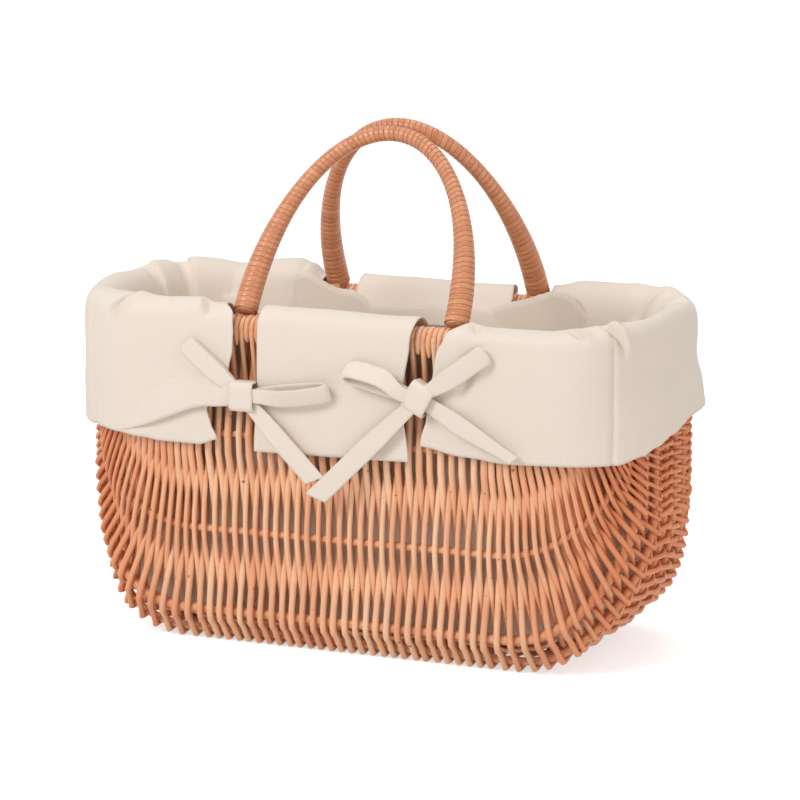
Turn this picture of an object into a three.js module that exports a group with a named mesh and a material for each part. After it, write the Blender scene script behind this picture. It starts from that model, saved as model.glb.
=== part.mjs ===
// A willow basket bag with two bound handles and a tied cloth liner.
// Millimetres, +Z up, origin on the ground under the middle, front towards -Y.
import * as THREE from 'three';

// Willow stock
const ribRadius = 3.2;
const rodDiameter = 3.4;
const hoopRadius = 5;
const clearance = 0.3;
const stripGap = 0.85;
const wallHalf = ribRadius + rodDiameter;
const wrapRadius = hoopRadius + rodDiameter;

// Rim, measured on the centre line of the hoop
const rimHalfLength = 190;
const rimHalfDepth = 76;
const rimCornerRadius = 56;
const rimTop = 214.5;
const hoopZ = rimTop - wrapRadius;
const ribTopZ = hoopZ - hoopRadius - clearance;

// Handles, set a little to the right of the middle
const handleShift = 4;
const handleHalfSpan = 71.5;
const frontHandleTop = 325;
const backHandleTop = 329;
const handleTopGap = 1;
const coreTopRadius = 3;
const coreFootRadius = 5.9;
const coreTaperLength = 110;
const footBallRadius = 4;
const footBelowWidest = 6;
const footInset = 5;
const bindingTurns = 22;
const bindingStepsPerTurn = 8;
const bindingThickness = 2;
const bindingStart = 7;
const bindingTurnGap = 0.8;
const leastTurnGap = 0.4;
const slypeThickness = 4;
const slypeWidth = 8;
const slypeLength = 78;

// Liner
const bagInset = 17;
const clothThickness = 1.6;
const cuffGap = 0.9;
const skirtGap = 1.2;
const cuffRise = 8.5;
const flapRise = 6;
const cuffDrop = 79.5;
const cuffHemLift = 30;
const cuffHemRound = 8;
const flapDrop = 84.5;
const skirtPuff = 7;
const cuffFoldDepth = 2.2;
const cuffFolds = 7;
const flapFoldDepth = 0.8;
const flapFolds = 2;
const slitCrest = handleHalfSpan + coreFootRadius + bindingThickness + 3 * clearance;
const rightCuffHemEdge = handleHalfSpan - 17.5;
const leftCuffHemEdge = handleHalfSpan + 14.5;
const flapLeft = 14.5 - handleHalfSpan;
const flapRight = handleHalfSpan - 24;

// Bows
const tieWidth = 12.5;
const tieNeck = 7.5;
const tieThickness = 1.6;
const tieOffset = 18.2;
const loopPuff = 8.5;
const knotHalf = { x: 8.2, y: 7.2, z: 9.5 };
const knotOffset = 15;
const knotGap = 0.5;
const bowSize = 0.84 * handleHalfSpan;
const leftBowDrop = 48.5;
const rightBowDrop = 41.5;

const willow = { color: 0xdba577, roughness: 0.55, metalness: 0 };
const ribWillow = { color: 0xc98f5f, roughness: 0.5, metalness: 0 };
const skein = { color: 0xc78552, roughness: 0.4, metalness: 0 };
const cloth = { color: 0xece4d7, roughness: 0.95, metalness: 0 };

const group = new THREE.Group();
group.name = 'wicker_basket_bag';

function addPart(name, geometry, look) {
  const mesh = new THREE.Mesh(geometry, new THREE.MeshStandardMaterial(look));
  mesh.name = name;
  group.add(mesh);
}

// Triangles that close one end, wound about the section's own normal
function endFaces(section) {
  const normal = new THREE.Vector3();
  section.forEach((p, k) => {
    const next = section[(k + 1) % section.length];
    normal.add(new THREE.Vector3().crossVectors(p, next));
  });
  normal.normalize();
  const side = Math.abs(normal.z) < 0.9 ? new THREE.Vector3(0, 0, 1) : new THREE.Vector3(1, 0, 0);
  const across = new THREE.Vector3().crossVectors(side, normal).normalize();
  const up = new THREE.Vector3().crossVectors(normal, across);
  const flat = section.map((p) => new THREE.Vector2(p.dot(across), p.dot(up)));
  return THREE.ShapeUtils.triangulateShape(flat, []);
}

// Joins equal closed sections into one closed body; a ring of sections has no ends
function loft(sections, ring = false) {
  const count = sections[0].length;
  const points = sections.flat();
  const spans = ring ? sections.length : sections.length - 1;
  let faces = [];
  for (let j = 0; j < spans; j += 1) {
    const a = j * count;
    const b = ((j + 1) % sections.length) * count;
    for (let k = 0; k < count; k += 1) {
      const next = (k + 1) % count;
      faces.push([a + k, a + next, b + next], [a + k, b + next, b + k]);
    }
  }
  if (!ring) {
    const last = (sections.length - 1) * count;
    endFaces(sections[0]).forEach(([a, b, c]) => faces.push([a, c, b]));
    endFaces(sections[sections.length - 1]).forEach((f) => faces.push(f.map((k) => k + last)));
  }
  const volume = faces.reduce((sum, [a, b, c]) => {
    return sum + points[a].dot(new THREE.Vector3().crossVectors(points[b], points[c]));
  }, 0);
  if (volume < 0) {
    faces = faces.map(([a, b, c]) => [a, c, b]);
  }
  const geometry = new THREE.BufferGeometry();
  geometry.setFromPoints(points);
  geometry.setIndex(faces.flat());
  geometry.computeVertexNormals();
  return geometry;
}

// A circle of points about a centre, in the plane of two directions
function circle(centre, u, v, radius, sides, vRadius = radius) {
  return Array.from({ length: sides }, (_, k) => {
    const angle = (2 * Math.PI * k) / sides;
    return centre.clone()
      .addScaledVector(u, radius * Math.cos(angle))
      .addScaledVector(v, vRadius * Math.sin(angle));
  });
}

// A copy mirrored across the middle, with its faces turned outwards again
function mirrored(geometry, signX, signY) {
  const copy = geometry.clone().scale(signX, signY, 1);
  const index = copy.getIndex();
  for (let k = 0; k < index.count; k += 3) {
    const second = index.getX(k + 1);
    index.setX(k + 1, index.getX(k + 2));
    index.setX(k + 2, second);
  }
  copy.computeVertexNormals();
  return copy;
}

// Depth of a rounded rectangle's outline at a distance from its middle, and the reverse
function outlineY(x) {
  const past = Math.abs(x) - (rimHalfLength - rimCornerRadius);
  if (past <= 0) {
    return rimHalfDepth;
  }
  const rise = Math.sqrt(Math.max(rimCornerRadius ** 2 - past ** 2, 0));
  return rimHalfDepth - rimCornerRadius + rise;
}

function outlineX(y) {
  const past = Math.abs(y) - (rimHalfDepth - rimCornerRadius);
  if (past <= 0) {
    return rimHalfLength;
  }
  return rimHalfLength - rimCornerRadius + Math.sqrt(rimCornerRadius ** 2 - past ** 2);
}

// A place on the rim outline, at a distance from the front middle towards +X and round
const longRun = rimHalfLength - rimCornerRadius;
const endRun = 2 * (rimHalfDepth - rimCornerRadius);
const cornerRun = (Math.PI / 2) * rimCornerRadius;
const halfRound = 2 * longRun + endRun + 2 * cornerRun;
function rimPlace(distance) {
  const d = Math.abs(distance);
  const cornerY = rimHalfDepth - rimCornerRadius;
  let angle = -Math.PI / 2;
  let centre = new THREE.Vector3(Math.min(d, longRun), -cornerY, 0);
  if (d > longRun && d <= longRun + cornerRun) {
    angle += (d - longRun) / rimCornerRadius;
  } else if (d > longRun + cornerRun && d <= longRun + cornerRun + endRun) {
    angle = 0;
    centre.y += d - longRun - cornerRun;
  } else if (d > longRun + cornerRun + endRun && d <= halfRound - longRun) {
    angle = (d - longRun - cornerRun - endRun) / rimCornerRadius;
    centre.y = cornerY;
  } else if (d > halfRound - longRun) {
    angle = Math.PI / 2;
    centre = new THREE.Vector3(halfRound - d, cornerY, 0);
  }
  const outward = new THREE.Vector3(Math.cos(angle), Math.sin(angle), 0);
  const point = centre.addScaledVector(outward, rimCornerRadius);
  if (distance < 0) {
    point.x = -point.x;
    outward.x = -outward.x;
  }
  return { point, outward };
}

// Places all round the rim, close together only in the corners
const cornerSteps = 6;
const quarterPlaces = Array.from({ length: cornerSteps + 1 }, (_, k) => {
  return longRun + (cornerRun * k) / cornerSteps;
});
const rightPlaces = [...quarterPlaces, ...quarterPlaces.map((d) => halfRound - d).reverse()];
const rimPlaces = [...rightPlaces, ...rightPlaces.map((d) => -d).reverse()].map(rimPlace);

function rimSection(place, pairs) {
  return pairs.map(([out, z]) => {
    const p = place.point.clone().addScaledVector(place.outward, out);
    p.z = z;
    return p;
  });
}

function arcPairs(radius, steps, reverse = false) {
  const pairs = Array.from({ length: steps + 1 }, (_, k) => {
    const angle = (Math.PI * k) / steps;
    return [radius * Math.cos(angle), hoopZ + radius * Math.sin(angle)];
  });
  return reverse ? pairs.reverse() : pairs;
}

// Rim hoop and the rod ends laid over it
const wrapSteps = 5;
const wrapBore = (hoopRadius + clearance) / Math.cos(Math.PI / (2 * wrapSteps));
const upZ = new THREE.Vector3(0, 0, 1);
const hoopSections = rimPlaces.map(({ point, outward }) => {
  return circle(point.clone().setZ(hoopZ), outward, upZ, hoopRadius, 8);
});
addPart('rim_hoop', loft(hoopSections, true), ribWillow);
const wrapPairs = [...arcPairs(wrapRadius, wrapSteps), ...arcPairs(wrapBore, wrapSteps, true)];
addPart('rim_wrapping', loft(rimPlaces.map((p) => rimSection(p, wrapPairs)), true), willow);

// Ribs of the front half, from the rim down to the middle of the base
const ribShares = [
  { name: 'upper', depth: 1, z: 0.643 * rimTop, rim: 0.91, start: 0.526, rise: 0.83 },
  { name: 'middle', depth: 1, z: 0.35 * rimTop, rim: 0.72, start: 0.538, rise: 0.541 },
  { name: 'lower', depth: 1, z: 0.1026 * rimTop, rim: 0.57, start: 0.588, rise: 0.526 },
  { name: 'foot', depth: 0.868, z: wallHalf, rim: 0.35, start: 0.61, rise: 0.49 },
  { name: 'base', depth: 0.29, z: wallHalf, rim: 0.115, start: 0.62, rise: 0.48 },
];
function ribFrom(share, side, name) {
  const y = side * share.depth * rimHalfDepth;
  const rimY = side * share.rim * rimHalfDepth;
  const start = share.start * rimHalfLength;
  const cornerTop = share.z + share.rise * (ribTopZ - share.z);
  return { name, y, z: share.z, rimY, start, cornerTop };
}
const ribs = [
  ...ribShares.map((s) => ribFrom(s, -1, `front_${s.name}_rib`)),
  ...ribShares.map((s) => ribFrom(s, 1, `back_${s.name}_rib`)).reverse(),
];

// A place on a rib: 0 to 1 is straight, 1 to 2 is the bend and 2 to 3 the upright end
const bendInward = 0.25;
function ribPoint(rib, q) {
  const along = Math.min(Math.abs(q), 1);
  const bend = THREE.MathUtils.clamp(Math.abs(q) - 1, 0, 1);
  const upright = THREE.MathUtils.clamp(Math.abs(q) - 2, 0, 1);
  const angle = (bend * Math.PI) / 2;
  const x = rib.start * along + (outlineX(rib.rimY) - rib.start) * Math.sin(angle);
  const bendZ = (rib.cornerTop - rib.z) * (1 - Math.cos(angle));
  const z = rib.z + bendZ + (ribTopZ - rib.cornerTop) * upright;
  const y = rib.y + (rib.rimY - rib.y) * THREE.MathUtils.smoothstep(bend, bendInward, 1);
  return new THREE.Vector3(Math.sign(q) * x, y, z);
}

function ribTangent(rib, q) {
  const step = 0.02;
  const low = Math.max(q - step, -3);
  const high = Math.min(q + step, 3);
  return ribPoint(rib, high).sub(ribPoint(rib, low)).normalize();
}

// The rim's underside above or beside an upper rib, as the line that its strip hangs from
function rimEdge(x, side) {
  return new THREE.Vector3(x, side * outlineY(x), ribTopZ);
}

function neighbour(i, q) {
  if (i < 0) {
    return rimEdge(ribPoint(ribs[0], q).x, -1);
  }
  return i < ribs.length ? ribPoint(ribs[i], q) : rimEdge(ribPoint(ribs[i - 1], q).x, 1);
}

// The wall's outward direction at a rib, and how far its mitre lengthens an offset
const middle = new THREE.Vector3(0, 0, rimTop / 2);
// A neighbour nearly in line with the rib says nothing about the wall there
const leastSquare = 0.5;
function ribMitre(i, q) {
  const point = ribPoint(ribs[i], q);
  const tangent = ribTangent(ribs[i], q);
  const square = (v) => {
    const reach = Math.max(v.length(), ribRadius);
    return v.divideScalar(reach).addScaledVector(tangent, -v.dot(tangent));
  };
  let before = square(point.clone().sub(neighbour(i - 1, q)));
  let after = square(neighbour(i + 1, q).sub(point));
  if (before.length() < leastSquare) {
    before = after.clone();
  }
  if (after.length() < leastSquare) {
    after = before.clone();
  }
  before.normalize();
  after.normalize();
  const across = before.clone().add(after);
  const outward = new THREE.Vector3().crossVectors(tangent, across).normalize();
  if (outward.dot(point.clone().sub(middle)) < 0) {
    outward.negate();
  }
  const lengthen = 1 / Math.sqrt((1 + before.dot(after)) / 2);
  return { point, outward, lengthen };
}

const bendSteps = 8;
const bendPlaces = Array.from({ length: bendSteps + 1 }, (_, k) => 1 + k / bendSteps);
const ribPlaces = [-3, ...bendPlaces.map((q) => -q).reverse(), ...bendPlaces, 3];
const ribSides = 8;
ribs.forEach((rib, i) => {
  const sections = ribPlaces.map((q) => {
    const { point, outward } = ribMitre(i, q);
    const side = new THREE.Vector3().crossVectors(ribTangent(rib, q), outward).normalize();
    return circle(point, outward, side, ribRadius, ribSides);
  });
  addPart(rib.name, loft(sections), ribWillow);
});

// Woven strips between neighbouring ribs: each rod lies over a rib or dips behind it, and the next
// rod does the reverse; inside, where the liner hangs, the strips are plain
const stripEdge = ribRadius + stripGap;
function stripSide(i, q, towards, height = wallHalf) {
  const { point, outward, lengthen } = ribMitre(i, q);
  const tangent = ribTangent(ribs[i], q);
  const square = towards.clone().addScaledVector(tangent, -towards.dot(tangent)).normalize();
  const edge = point.clone().addScaledVector(square, stripEdge * lengthen);
  return [height, -wallHalf].map((h) => edge.clone().addScaledVector(outward, h * lengthen));
}
const evenSteps = (from, to, count) => {
  return Array.from({ length: count }, (_, k) => from + ((to - from) * (k + 1)) / count);
};
function rodPlaces(straightRods, bendRods, uprightRods) {
  const half = [...evenSteps(1, 2, bendRods), ...evenSteps(2, 3, uprightRods)];
  return [...half.map((q) => -q).reverse(), -1, ...evenSteps(-1, 1, straightRods), ...half];
}
function ribStrip(i, { places, sameSide = false, flatBase = false }) {
  return loft(places.map((q, k) => {
    const towards = ribPoint(ribs[i + 1], q).sub(ribPoint(ribs[i], q)).normalize();
    const over = (k + i) % 2 === 0;
    const level = flatBase && Math.abs(q) <= 1;
    const rodHeight = (raised) => (raised || level ? wallHalf : -ribRadius);
    const [aOut, aIn] = stripSide(i, q, towards, rodHeight(over));
    const [bOut, bIn] = stripSide(i + 1, q, towards.negate(), rodHeight(over === sameSide));
    return [aOut, aIn, bIn, bOut];
  }));
}
function rimStrip(i) {
  const topPlaces = ribPlaces.filter((q) => Math.abs(q) < 2);
  return loft(topPlaces.map((q) => {
    const { outward } = ribMitre(i, q);
    const level = outward.clone().setZ(0).normalize();
    const [low, lowIn] = stripSide(i, q, upZ);
    const top = rimEdge((low.x + lowIn.x) / 2, Math.sign(ribs[i].y));
    const high = [wallHalf, -wallHalf].map((h) => top.clone().addScaledVector(level, h));
    return [low, lowIn, high[1], high[0]];
  }));
}
// Every rod shows in the walls and every second one below them; the base itself is flat to stand on
const wallRods = rodPlaces(54, 28, 8);
const edgeRods = rodPlaces(18, 14, 8);
const baseStrip = { places: rodPlaces(1, 14, 8), flatBase: true };
const strips = [
  { name: 'middle', places: wallRods },
  { name: 'lower', places: wallRods },
  { name: 'edge', places: edgeRods, sameSide: true },
  { name: 'base', ...baseStrip },
];
addPart('front_top_weave', rimStrip(0), willow);
strips.forEach((strip, i) => {
  addPart(`front_${strip.name}_weave`, ribStrip(i, strip), willow);
  addPart(`back_${strip.name}_weave`, ribStrip(ribs.length - 2 - i, strip), willow);
});
addPart('centre_base_weave', ribStrip(strips.length, baseStrip), willow);
addPart('back_top_weave', rimStrip(ribs.length - 1), willow);

// Handles: half an ellipse in a plane that leans in from the rim
const pivotY = rimHalfDepth - footInset;
const ballReach = wrapRadius + footBallRadius + clearance;
const pivotZ = hoopZ + Math.sqrt(ballReach ** 2 - footInset ** 2);
const bindingTopRadius = coreTopRadius + clearance + bindingThickness;
const handleTopY = bindingTopRadius + handleTopGap / 2;
class Arch extends THREE.Curve {
  constructor(side, topZ) {
    super();
    this.foot = new THREE.Vector3(0, side * pivotY, pivotZ);
    this.rise = new THREE.Vector3(0, side * handleTopY, topZ).sub(this.foot);
    this.level = new THREE.Vector3().crossVectors(new THREE.Vector3(1, 0, 0), this.rise).normalize();
    this.arcLengthDivisions = 400;
  }

  getPoint(t) {
    const angle = Math.PI * (1 - t);
    const p = this.foot.clone().addScaledVector(this.rise, Math.sin(angle));
    p.x = handleShift + handleHalfSpan * Math.cos(angle);
    return p;
  }

  // Centre, and the two directions across the rod, at a distance from the left foot
  frame(distance) {
    const share = THREE.MathUtils.clamp(distance / this.getLength(), 0, 1);
    const tangent = this.getTangentAt(share);
    const centre = this.getPointAt(share);
    centre.addScaledVector(tangent, distance - share * this.getLength());
    return { centre, tangent, u: this.level, v: new THREE.Vector3().crossVectors(tangent, this.level) };
  }
}

function coreRadius(arch, distance) {
  const fromFoot = Math.min(distance, arch.getLength() - distance);
  const slim = THREE.MathUtils.smoothstep(fromFoot, 0, coreTaperLength);
  return coreFootRadius + (coreTopRadius - coreFootRadius) * slim;
}

const coreSteps = 22;
const coreSides = 8;
function handleCore(arch) {
  const long = arch.getLength();
  const ballAngles = [80, 35, 0].map(THREE.MathUtils.degToRad);
  const ends = ballAngles.map((a) => [-footBallRadius * Math.sin(a), footBallRadius * Math.cos(a)]);
  const body = Array.from({ length: coreSteps + 1 }, (_, k) => {
    const d = footBelowWidest + ((long - 2 * footBelowWidest) * k) / coreSteps;
    return [d, coreRadius(arch, d)];
  });
  const tail = ends.map(([d, r]) => [long - d, r]).reverse();
  return loft([...ends, ...body, ...tail].map(([d, r]) => {
    const { centre, u, v } = arch.frame(d);
    return circle(centre, u, v, r, coreSides);
  }));
}

// One flat skein wound along the core; the steps of a turn stay clear of it
const turnAngle = (2 * Math.PI) / bindingStepsPerTurn;
const bindingClear = 1 / Math.cos(turnAngle / 2);
function bindingSections(arch) {
  const run = arch.getLength() - 2 * bindingStart;
  const pitch = run / (bindingTurns + 1);
  const half = (pitch - bindingTurnGap) / 2;
  const steps = bindingTurns * bindingStepsPerTurn;
  return Array.from({ length: steps + 1 }, (_, k) => {
    const d = bindingStart + pitch / 2 + (pitch * k) / bindingStepsPerTurn;
    const edge = (distance, height) => {
      const { centre, u, v } = arch.frame(distance);
      const r = (coreRadius(arch, distance) + clearance) * bindingClear + height;
      return centre.addScaledVector(u, r * Math.cos(k * turnAngle))
        .addScaledVector(v, r * Math.sin(k * turnAngle));
    };
    const low = d - half;
    const high = d + half;
    return [edge(low, 0), edge(high, 0), edge(high, bindingThickness), edge(low, bindingThickness)];
  });
}
function turnGap(sections) {
  let least = Infinity;
  sections.slice(0, -bindingStepsPerTurn).forEach((section, k) => {
    const next = sections[k + bindingStepsPerTurn];
    [[1, 0], [2, 3]].forEach(([high, low]) => {
      least = Math.min(least, section[high].distanceTo(next[low]));
    });
  });
  return least;
}
const arches = { front: new Arch(-1, frontHandleTop), back: new Arch(1, backHandleTop) };
Object.entries(arches).forEach(([place, arch]) => {
  const sections = bindingSections(arch);
  const gap = turnGap(sections);
  console.log(`${place} handle binding: least gap between turns ${gap.toFixed(2)} mm`);
  if (gap < leastTurnGap) {
    throw new Error(`${place} handle binding touches itself`);
  }
  addPart(`${place}_handle_core`, handleCore(arch), ribWillow);
  addPart(`${place}_handle_binding`, loft(sections), skein);
});

// Slyped handle ends, pushed down inside the rim
const slypeY = rimHalfDepth - wrapRadius - clearance - slypeThickness / 2;
const slypeTop = pivotZ - footBallRadius + 5 * clearance;
function slypedEnd(x, y) {
  const shape = [[0, 1], [0.4, 1], [1, 0.25]];
  const unitX = new THREE.Vector3(1, 0, 0);
  const unitY = new THREE.Vector3(0, 1, 0);
  return loft(shape.map(([down, share]) => {
    const centre = new THREE.Vector3(x, y, slypeTop - down * slypeLength);
    return circle(centre, unitX, unitY, (share * slypeWidth) / 2, 8, (share * slypeThickness) / 2);
  }));
}
[['front', -1], ['back', 1]].forEach(([place, side]) => {
  const left = handleShift - handleHalfSpan;
  const right = handleShift + handleHalfSpan;
  addPart(`${place}_left_handle_end`, slypedEnd(left, side * slypeY), ribWillow);
  addPart(`${place}_right_handle_end`, slypedEnd(right, side * slypeY), ribWillow);
});

// Liner bag: level rings outside from the floor up, then inside down to the floor
const bagTop = hoopZ - 2;
const bagFloor = 2 * wallHalf + clearance;
const bagHalfLength = rimHalfLength - bagInset;
const bagHalfDepth = rimHalfDepth - bagInset;
const bagCornerRadius = rimCornerRadius - bagInset;
const bagFloorLength = 0.5 * rimHalfLength;
const bagFloorDepth = 0.85 * bagHalfDepth;
const bagBendTop = 0.51 * rimTop;
function bagRing(angle, z, inside) {
  const inset = inside ? clothThickness : 0;
  const halfX = bagFloorLength + (bagHalfLength - bagFloorLength) * Math.sin(angle) - inset;
  const halfY = bagFloorDepth + (bagHalfDepth - bagFloorDepth) * Math.sin(angle) - inset;
  const radius = bagCornerRadius - inset;
  return [[1, 0], [-1, 1], [-1, 2], [1, 3]].flatMap(([signX, quarter]) => {
    const signY = quarter < 2 ? 1 : -1;
    const centre = new THREE.Vector3(signX * (halfX - radius), signY * (halfY - radius), z);
    return Array.from({ length: cornerSteps + 1 }, (_, k) => {
      const turn = ((quarter + k / cornerSteps) * Math.PI) / 2;
      return centre.clone().add(new THREE.Vector3(radius * Math.cos(turn), radius * Math.sin(turn), 0));
    });
  });
}
const bagAngles = [0, 22.5, 45, 67.5, 90].map(THREE.MathUtils.degToRad);
const bagBend = (floor, inside) => bagAngles.map((a) => {
  return bagRing(a, floor + (bagBendTop - floor) * (1 - Math.cos(a)), inside);
});
const bagSections = [
  ...bagBend(bagFloor, false),
  bagRing(Math.PI / 2, bagTop, false),
  bagRing(Math.PI / 2, bagTop, true),
  ...bagBend(bagFloor + clothThickness, true).reverse(),
];
addPart('liner_bag', loft(bagSections), cloth);

// Cloth folded over the rim, from its hem outside to the top of the bag inside
const shoulderZ = hoopZ - 1;
const skirtOut = wallHalf + skirtGap;
function foldedPairs(hem, crest, fold) {
  const hang = (share) => hem + (shoulderZ - hem) * share;
  const rise = crest - shoulderZ;
  return [
    [skirtOut + 0.57 * skirtPuff + fold, hem],
    [skirtOut + 0.8 * skirtPuff + 0.8 * fold, hang(0.35)],
    [skirtOut + 0.94 * skirtPuff + 0.4 * fold, hang(0.7)],
    [skirtOut + skirtPuff, shoulderZ],
    [skirtOut + 0.66 * skirtPuff, shoulderZ + 0.55 * rise],
    [0.83 * skirtOut, shoulderZ + 0.91 * rise],
    [0, crest],
    [-0.44 * bagInset, shoulderZ + 0.86 * rise],
    [-0.82 * bagInset, shoulderZ + 0.44 * rise],
    [-bagInset - clothThickness, bagTop + clearance],
    [-wrapRadius - cuffGap, bagTop + clearance],
    ...arcPairs(wrapRadius + cuffGap, wrapSteps, true),
    [skirtOut, ribTopZ],
    [skirtOut, hem],
  ];
}
// The two edges of a piece run from where they are at the crest to where they are at the hem
function foldedCloth({ from, to, fromHem, toHem, hem, lift, crest, foldDepth, folds, steps }) {
  return loft(Array.from({ length: steps + 1 }, (_, k) => {
    const share = k / steps;
    const low = hem + lift * Math.sin(Math.PI * share) ** cuffHemRound;
    const fold = foldDepth * Math.cos(2 * Math.PI * folds * share);
    const pairs = foldedPairs(low, crest, fold);
    return pairs.map(([out, z]) => {
      const down = THREE.MathUtils.clamp((shoulderZ - z) / (shoulderZ - low), 0, 1);
      const start = from + (fromHem - from) * down;
      const end = to + (toHem - to) * down;
      return rimSection(rimPlace(start + (end - start) * share), [[out, z]])[0];
    });
  }));
}
const endCuff = (edge, hemEdge) => foldedCloth({
  from: edge,
  to: halfRound - edge,
  fromHem: hemEdge,
  toHem: halfRound - hemEdge,
  hem: rimTop - cuffDrop,
  lift: cuffHemLift,
  crest: rimTop + cuffRise,
  foldDepth: cuffFoldDepth,
  folds: cuffFolds,
  steps: 4 * cuffFolds,
});
const flap = foldedCloth({
  from: handleShift + flapLeft,
  to: handleShift + flapRight,
  fromHem: handleShift + flapLeft,
  toHem: handleShift + flapRight,
  hem: rimTop - flapDrop,
  lift: 0,
  crest: rimTop + flapRise,
  foldDepth: flapFoldDepth,
  folds: flapFolds,
  steps: 4 * flapFolds,
});
const leftCuff = endCuff(slitCrest - handleShift, leftCuffHemEdge - handleShift);
addPart('right_cuff', endCuff(slitCrest + handleShift, rightCuffHemEdge + handleShift), cloth);
addPart('left_cuff', mirrored(leftCuff, -1, 1), cloth);
addPart('front_flap', flap, cloth);
addPart('back_flap', mirrored(flap, 1, -1), cloth);

// A flat tie that follows a line in the plane of its own direction and the outward one
function ribbon(knot, direction, line) {
  const along = new THREE.Vector3(direction.x, 0, direction.z).normalize();
  const outward = new THREE.Vector3(0, -1, 0);
  const wide = new THREE.Vector3().crossVectors(along, outward);
  const place = ([d, out]) => knot.clone().addScaledVector(along, d).addScaledVector(outward, out);
  const points = line.map(([d, out]) => place([d, out]));
  const widest = Math.max(...line.map(([d]) => d));
  return loft(points.map((p, k) => {
    const before = points[Math.max(k - 1, 0)];
    const after = points[Math.min(k + 1, points.length - 1)];
    const tangent = after.clone().sub(before).normalize();
    const thick = new THREE.Vector3().crossVectors(wide, tangent).normalize();
    const opening = THREE.MathUtils.smoothstep(line[k][0], line[0][0], 0.45 * widest);
    const half = (tieNeck + (tieWidth - tieNeck) * opening) / 2;
    return [[1, 1], [1, -1], [-1, -1], [-1, 1]].map(([w, t]) => {
      return p.clone().addScaledVector(wide, w * half).addScaledVector(thick, (t * tieThickness) / 2);
    });
  }));
}
// How far the knot reaches in a direction at the level of the ties, so that a tie starts clear of it
const tieLevel = (tieOffset - tieThickness / 2 - knotOffset) / knotHalf.y;
function knotReach({ x, z }) {
  const long = Math.hypot(x, z);
  const widest = Math.hypot((knotHalf.x * x) / long, (knotHalf.z * z) / long);
  return widest * Math.sqrt(1 - tieLevel ** 2) + clearance;
}
function bowLoop(knot, reach) {
  const long = Math.hypot(reach.x, reach.z);
  const start = knotReach(reach);
  const at = (share) => start + (long - start) * share;
  return ribbon(knot, reach, [
    [start, tieOffset + 0.35 * loopPuff],
    [at(0.25), tieOffset + 0.8 * loopPuff],
    [at(0.55), tieOffset + loopPuff],
    [at(0.85), tieOffset + 0.8 * loopPuff],
    [at(0.97), tieOffset + 0.6 * loopPuff],
    [at(1), tieOffset + 0.42 * loopPuff],
    [at(0.97), tieOffset + 0.22 * loopPuff],
    [at(0.85), tieOffset + 0.06 * loopPuff],
    [at(0.5), tieOffset],
    [start, tieOffset],
  ]);
}
function bowTail(knot, reach) {
  const long = Math.hypot(reach.x, reach.z);
  const start = knotReach(reach);
  return ribbon(knot, reach, [
    [start, tieOffset],
    [start + 0.35 * (long - start), tieOffset + 1],
    [start + 0.7 * (long - start), tieOffset + 0.6],
    [long, tieOffset],
  ]);
}
// Loops and tails end at these shares of the bow's size, across and up from its knot
const bows = [
  {
    name: 'left_bow',
    x: handleShift + flapLeft - knotHalf.x - knotGap,
    z: rimTop - leftBowDrop,
    loops: [[-0.617, 0.517], [1.033, 0.133]],
    tails: [[-1.333, -0.45], [0.85, -0.833]],
  },
  {
    name: 'right_bow',
    x: handleShift + flapRight + knotHalf.x + knotGap,
    z: rimTop - rightBowDrop,
    loops: [[-0.817, 0.233], [0.733, 0.517]],
    tails: [[-1.167, -1.133], [1.033, -0.567]],
  },
];
bows.forEach(({ name, x, z, loops, tails }) => {
  const knot = new THREE.Vector3(x, -rimHalfDepth, z);
  const ball = new THREE.SphereGeometry(1, 12, 8);
  ball.scale(knotHalf.x, knotHalf.y, knotHalf.z);
  ball.translate(x, -rimHalfDepth - knotOffset, z);
  const reach = ([across, up]) => ({ x: across * bowSize, z: up * bowSize });
  const pieces = [
    ['knot', ball],
    ['left_loop', bowLoop(knot, reach(loops[0]))],
    ['right_loop', bowLoop(knot, reach(loops[1]))],
    ['left_tail', bowTail(knot, reach(tails[0]))],
    ['right_tail', bowTail(knot, reach(tails[1]))],
  ];
  pieces.forEach(([piece, geometry]) => {
    addPart(`front_${name}_${piece}`, geometry, cloth);
    addPart(`back_${name}_${piece}`, mirrored(geometry, 1, -1), cloth);
  });
});

export default group;
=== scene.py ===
# %% [markdown]
# # A wicker basket bag
# This lesson dresses the imported solids of a willow basket bag: woven rods, ribs, bound handles
# and a cotton liner that is folded over the rim and tied with bows. The frame is loaded first.

# %% Load the frame
import math
import random
import bpy
import bmesh
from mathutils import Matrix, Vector


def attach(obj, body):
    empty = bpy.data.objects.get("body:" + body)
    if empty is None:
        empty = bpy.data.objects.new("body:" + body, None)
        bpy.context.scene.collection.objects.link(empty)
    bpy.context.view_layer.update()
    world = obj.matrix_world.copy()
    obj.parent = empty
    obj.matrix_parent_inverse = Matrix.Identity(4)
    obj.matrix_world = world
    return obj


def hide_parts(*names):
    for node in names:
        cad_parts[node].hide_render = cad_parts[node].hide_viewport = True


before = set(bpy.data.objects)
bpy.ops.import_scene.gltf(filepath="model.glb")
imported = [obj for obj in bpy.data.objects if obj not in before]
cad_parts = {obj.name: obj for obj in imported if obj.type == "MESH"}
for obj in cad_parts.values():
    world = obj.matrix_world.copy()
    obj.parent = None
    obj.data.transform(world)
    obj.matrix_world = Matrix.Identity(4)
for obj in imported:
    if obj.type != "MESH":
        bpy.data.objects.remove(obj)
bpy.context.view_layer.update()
scene = bpy.context.scene
scene.view_settings.view_transform = "Standard"
print("solids in the frame:", len(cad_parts))

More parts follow.
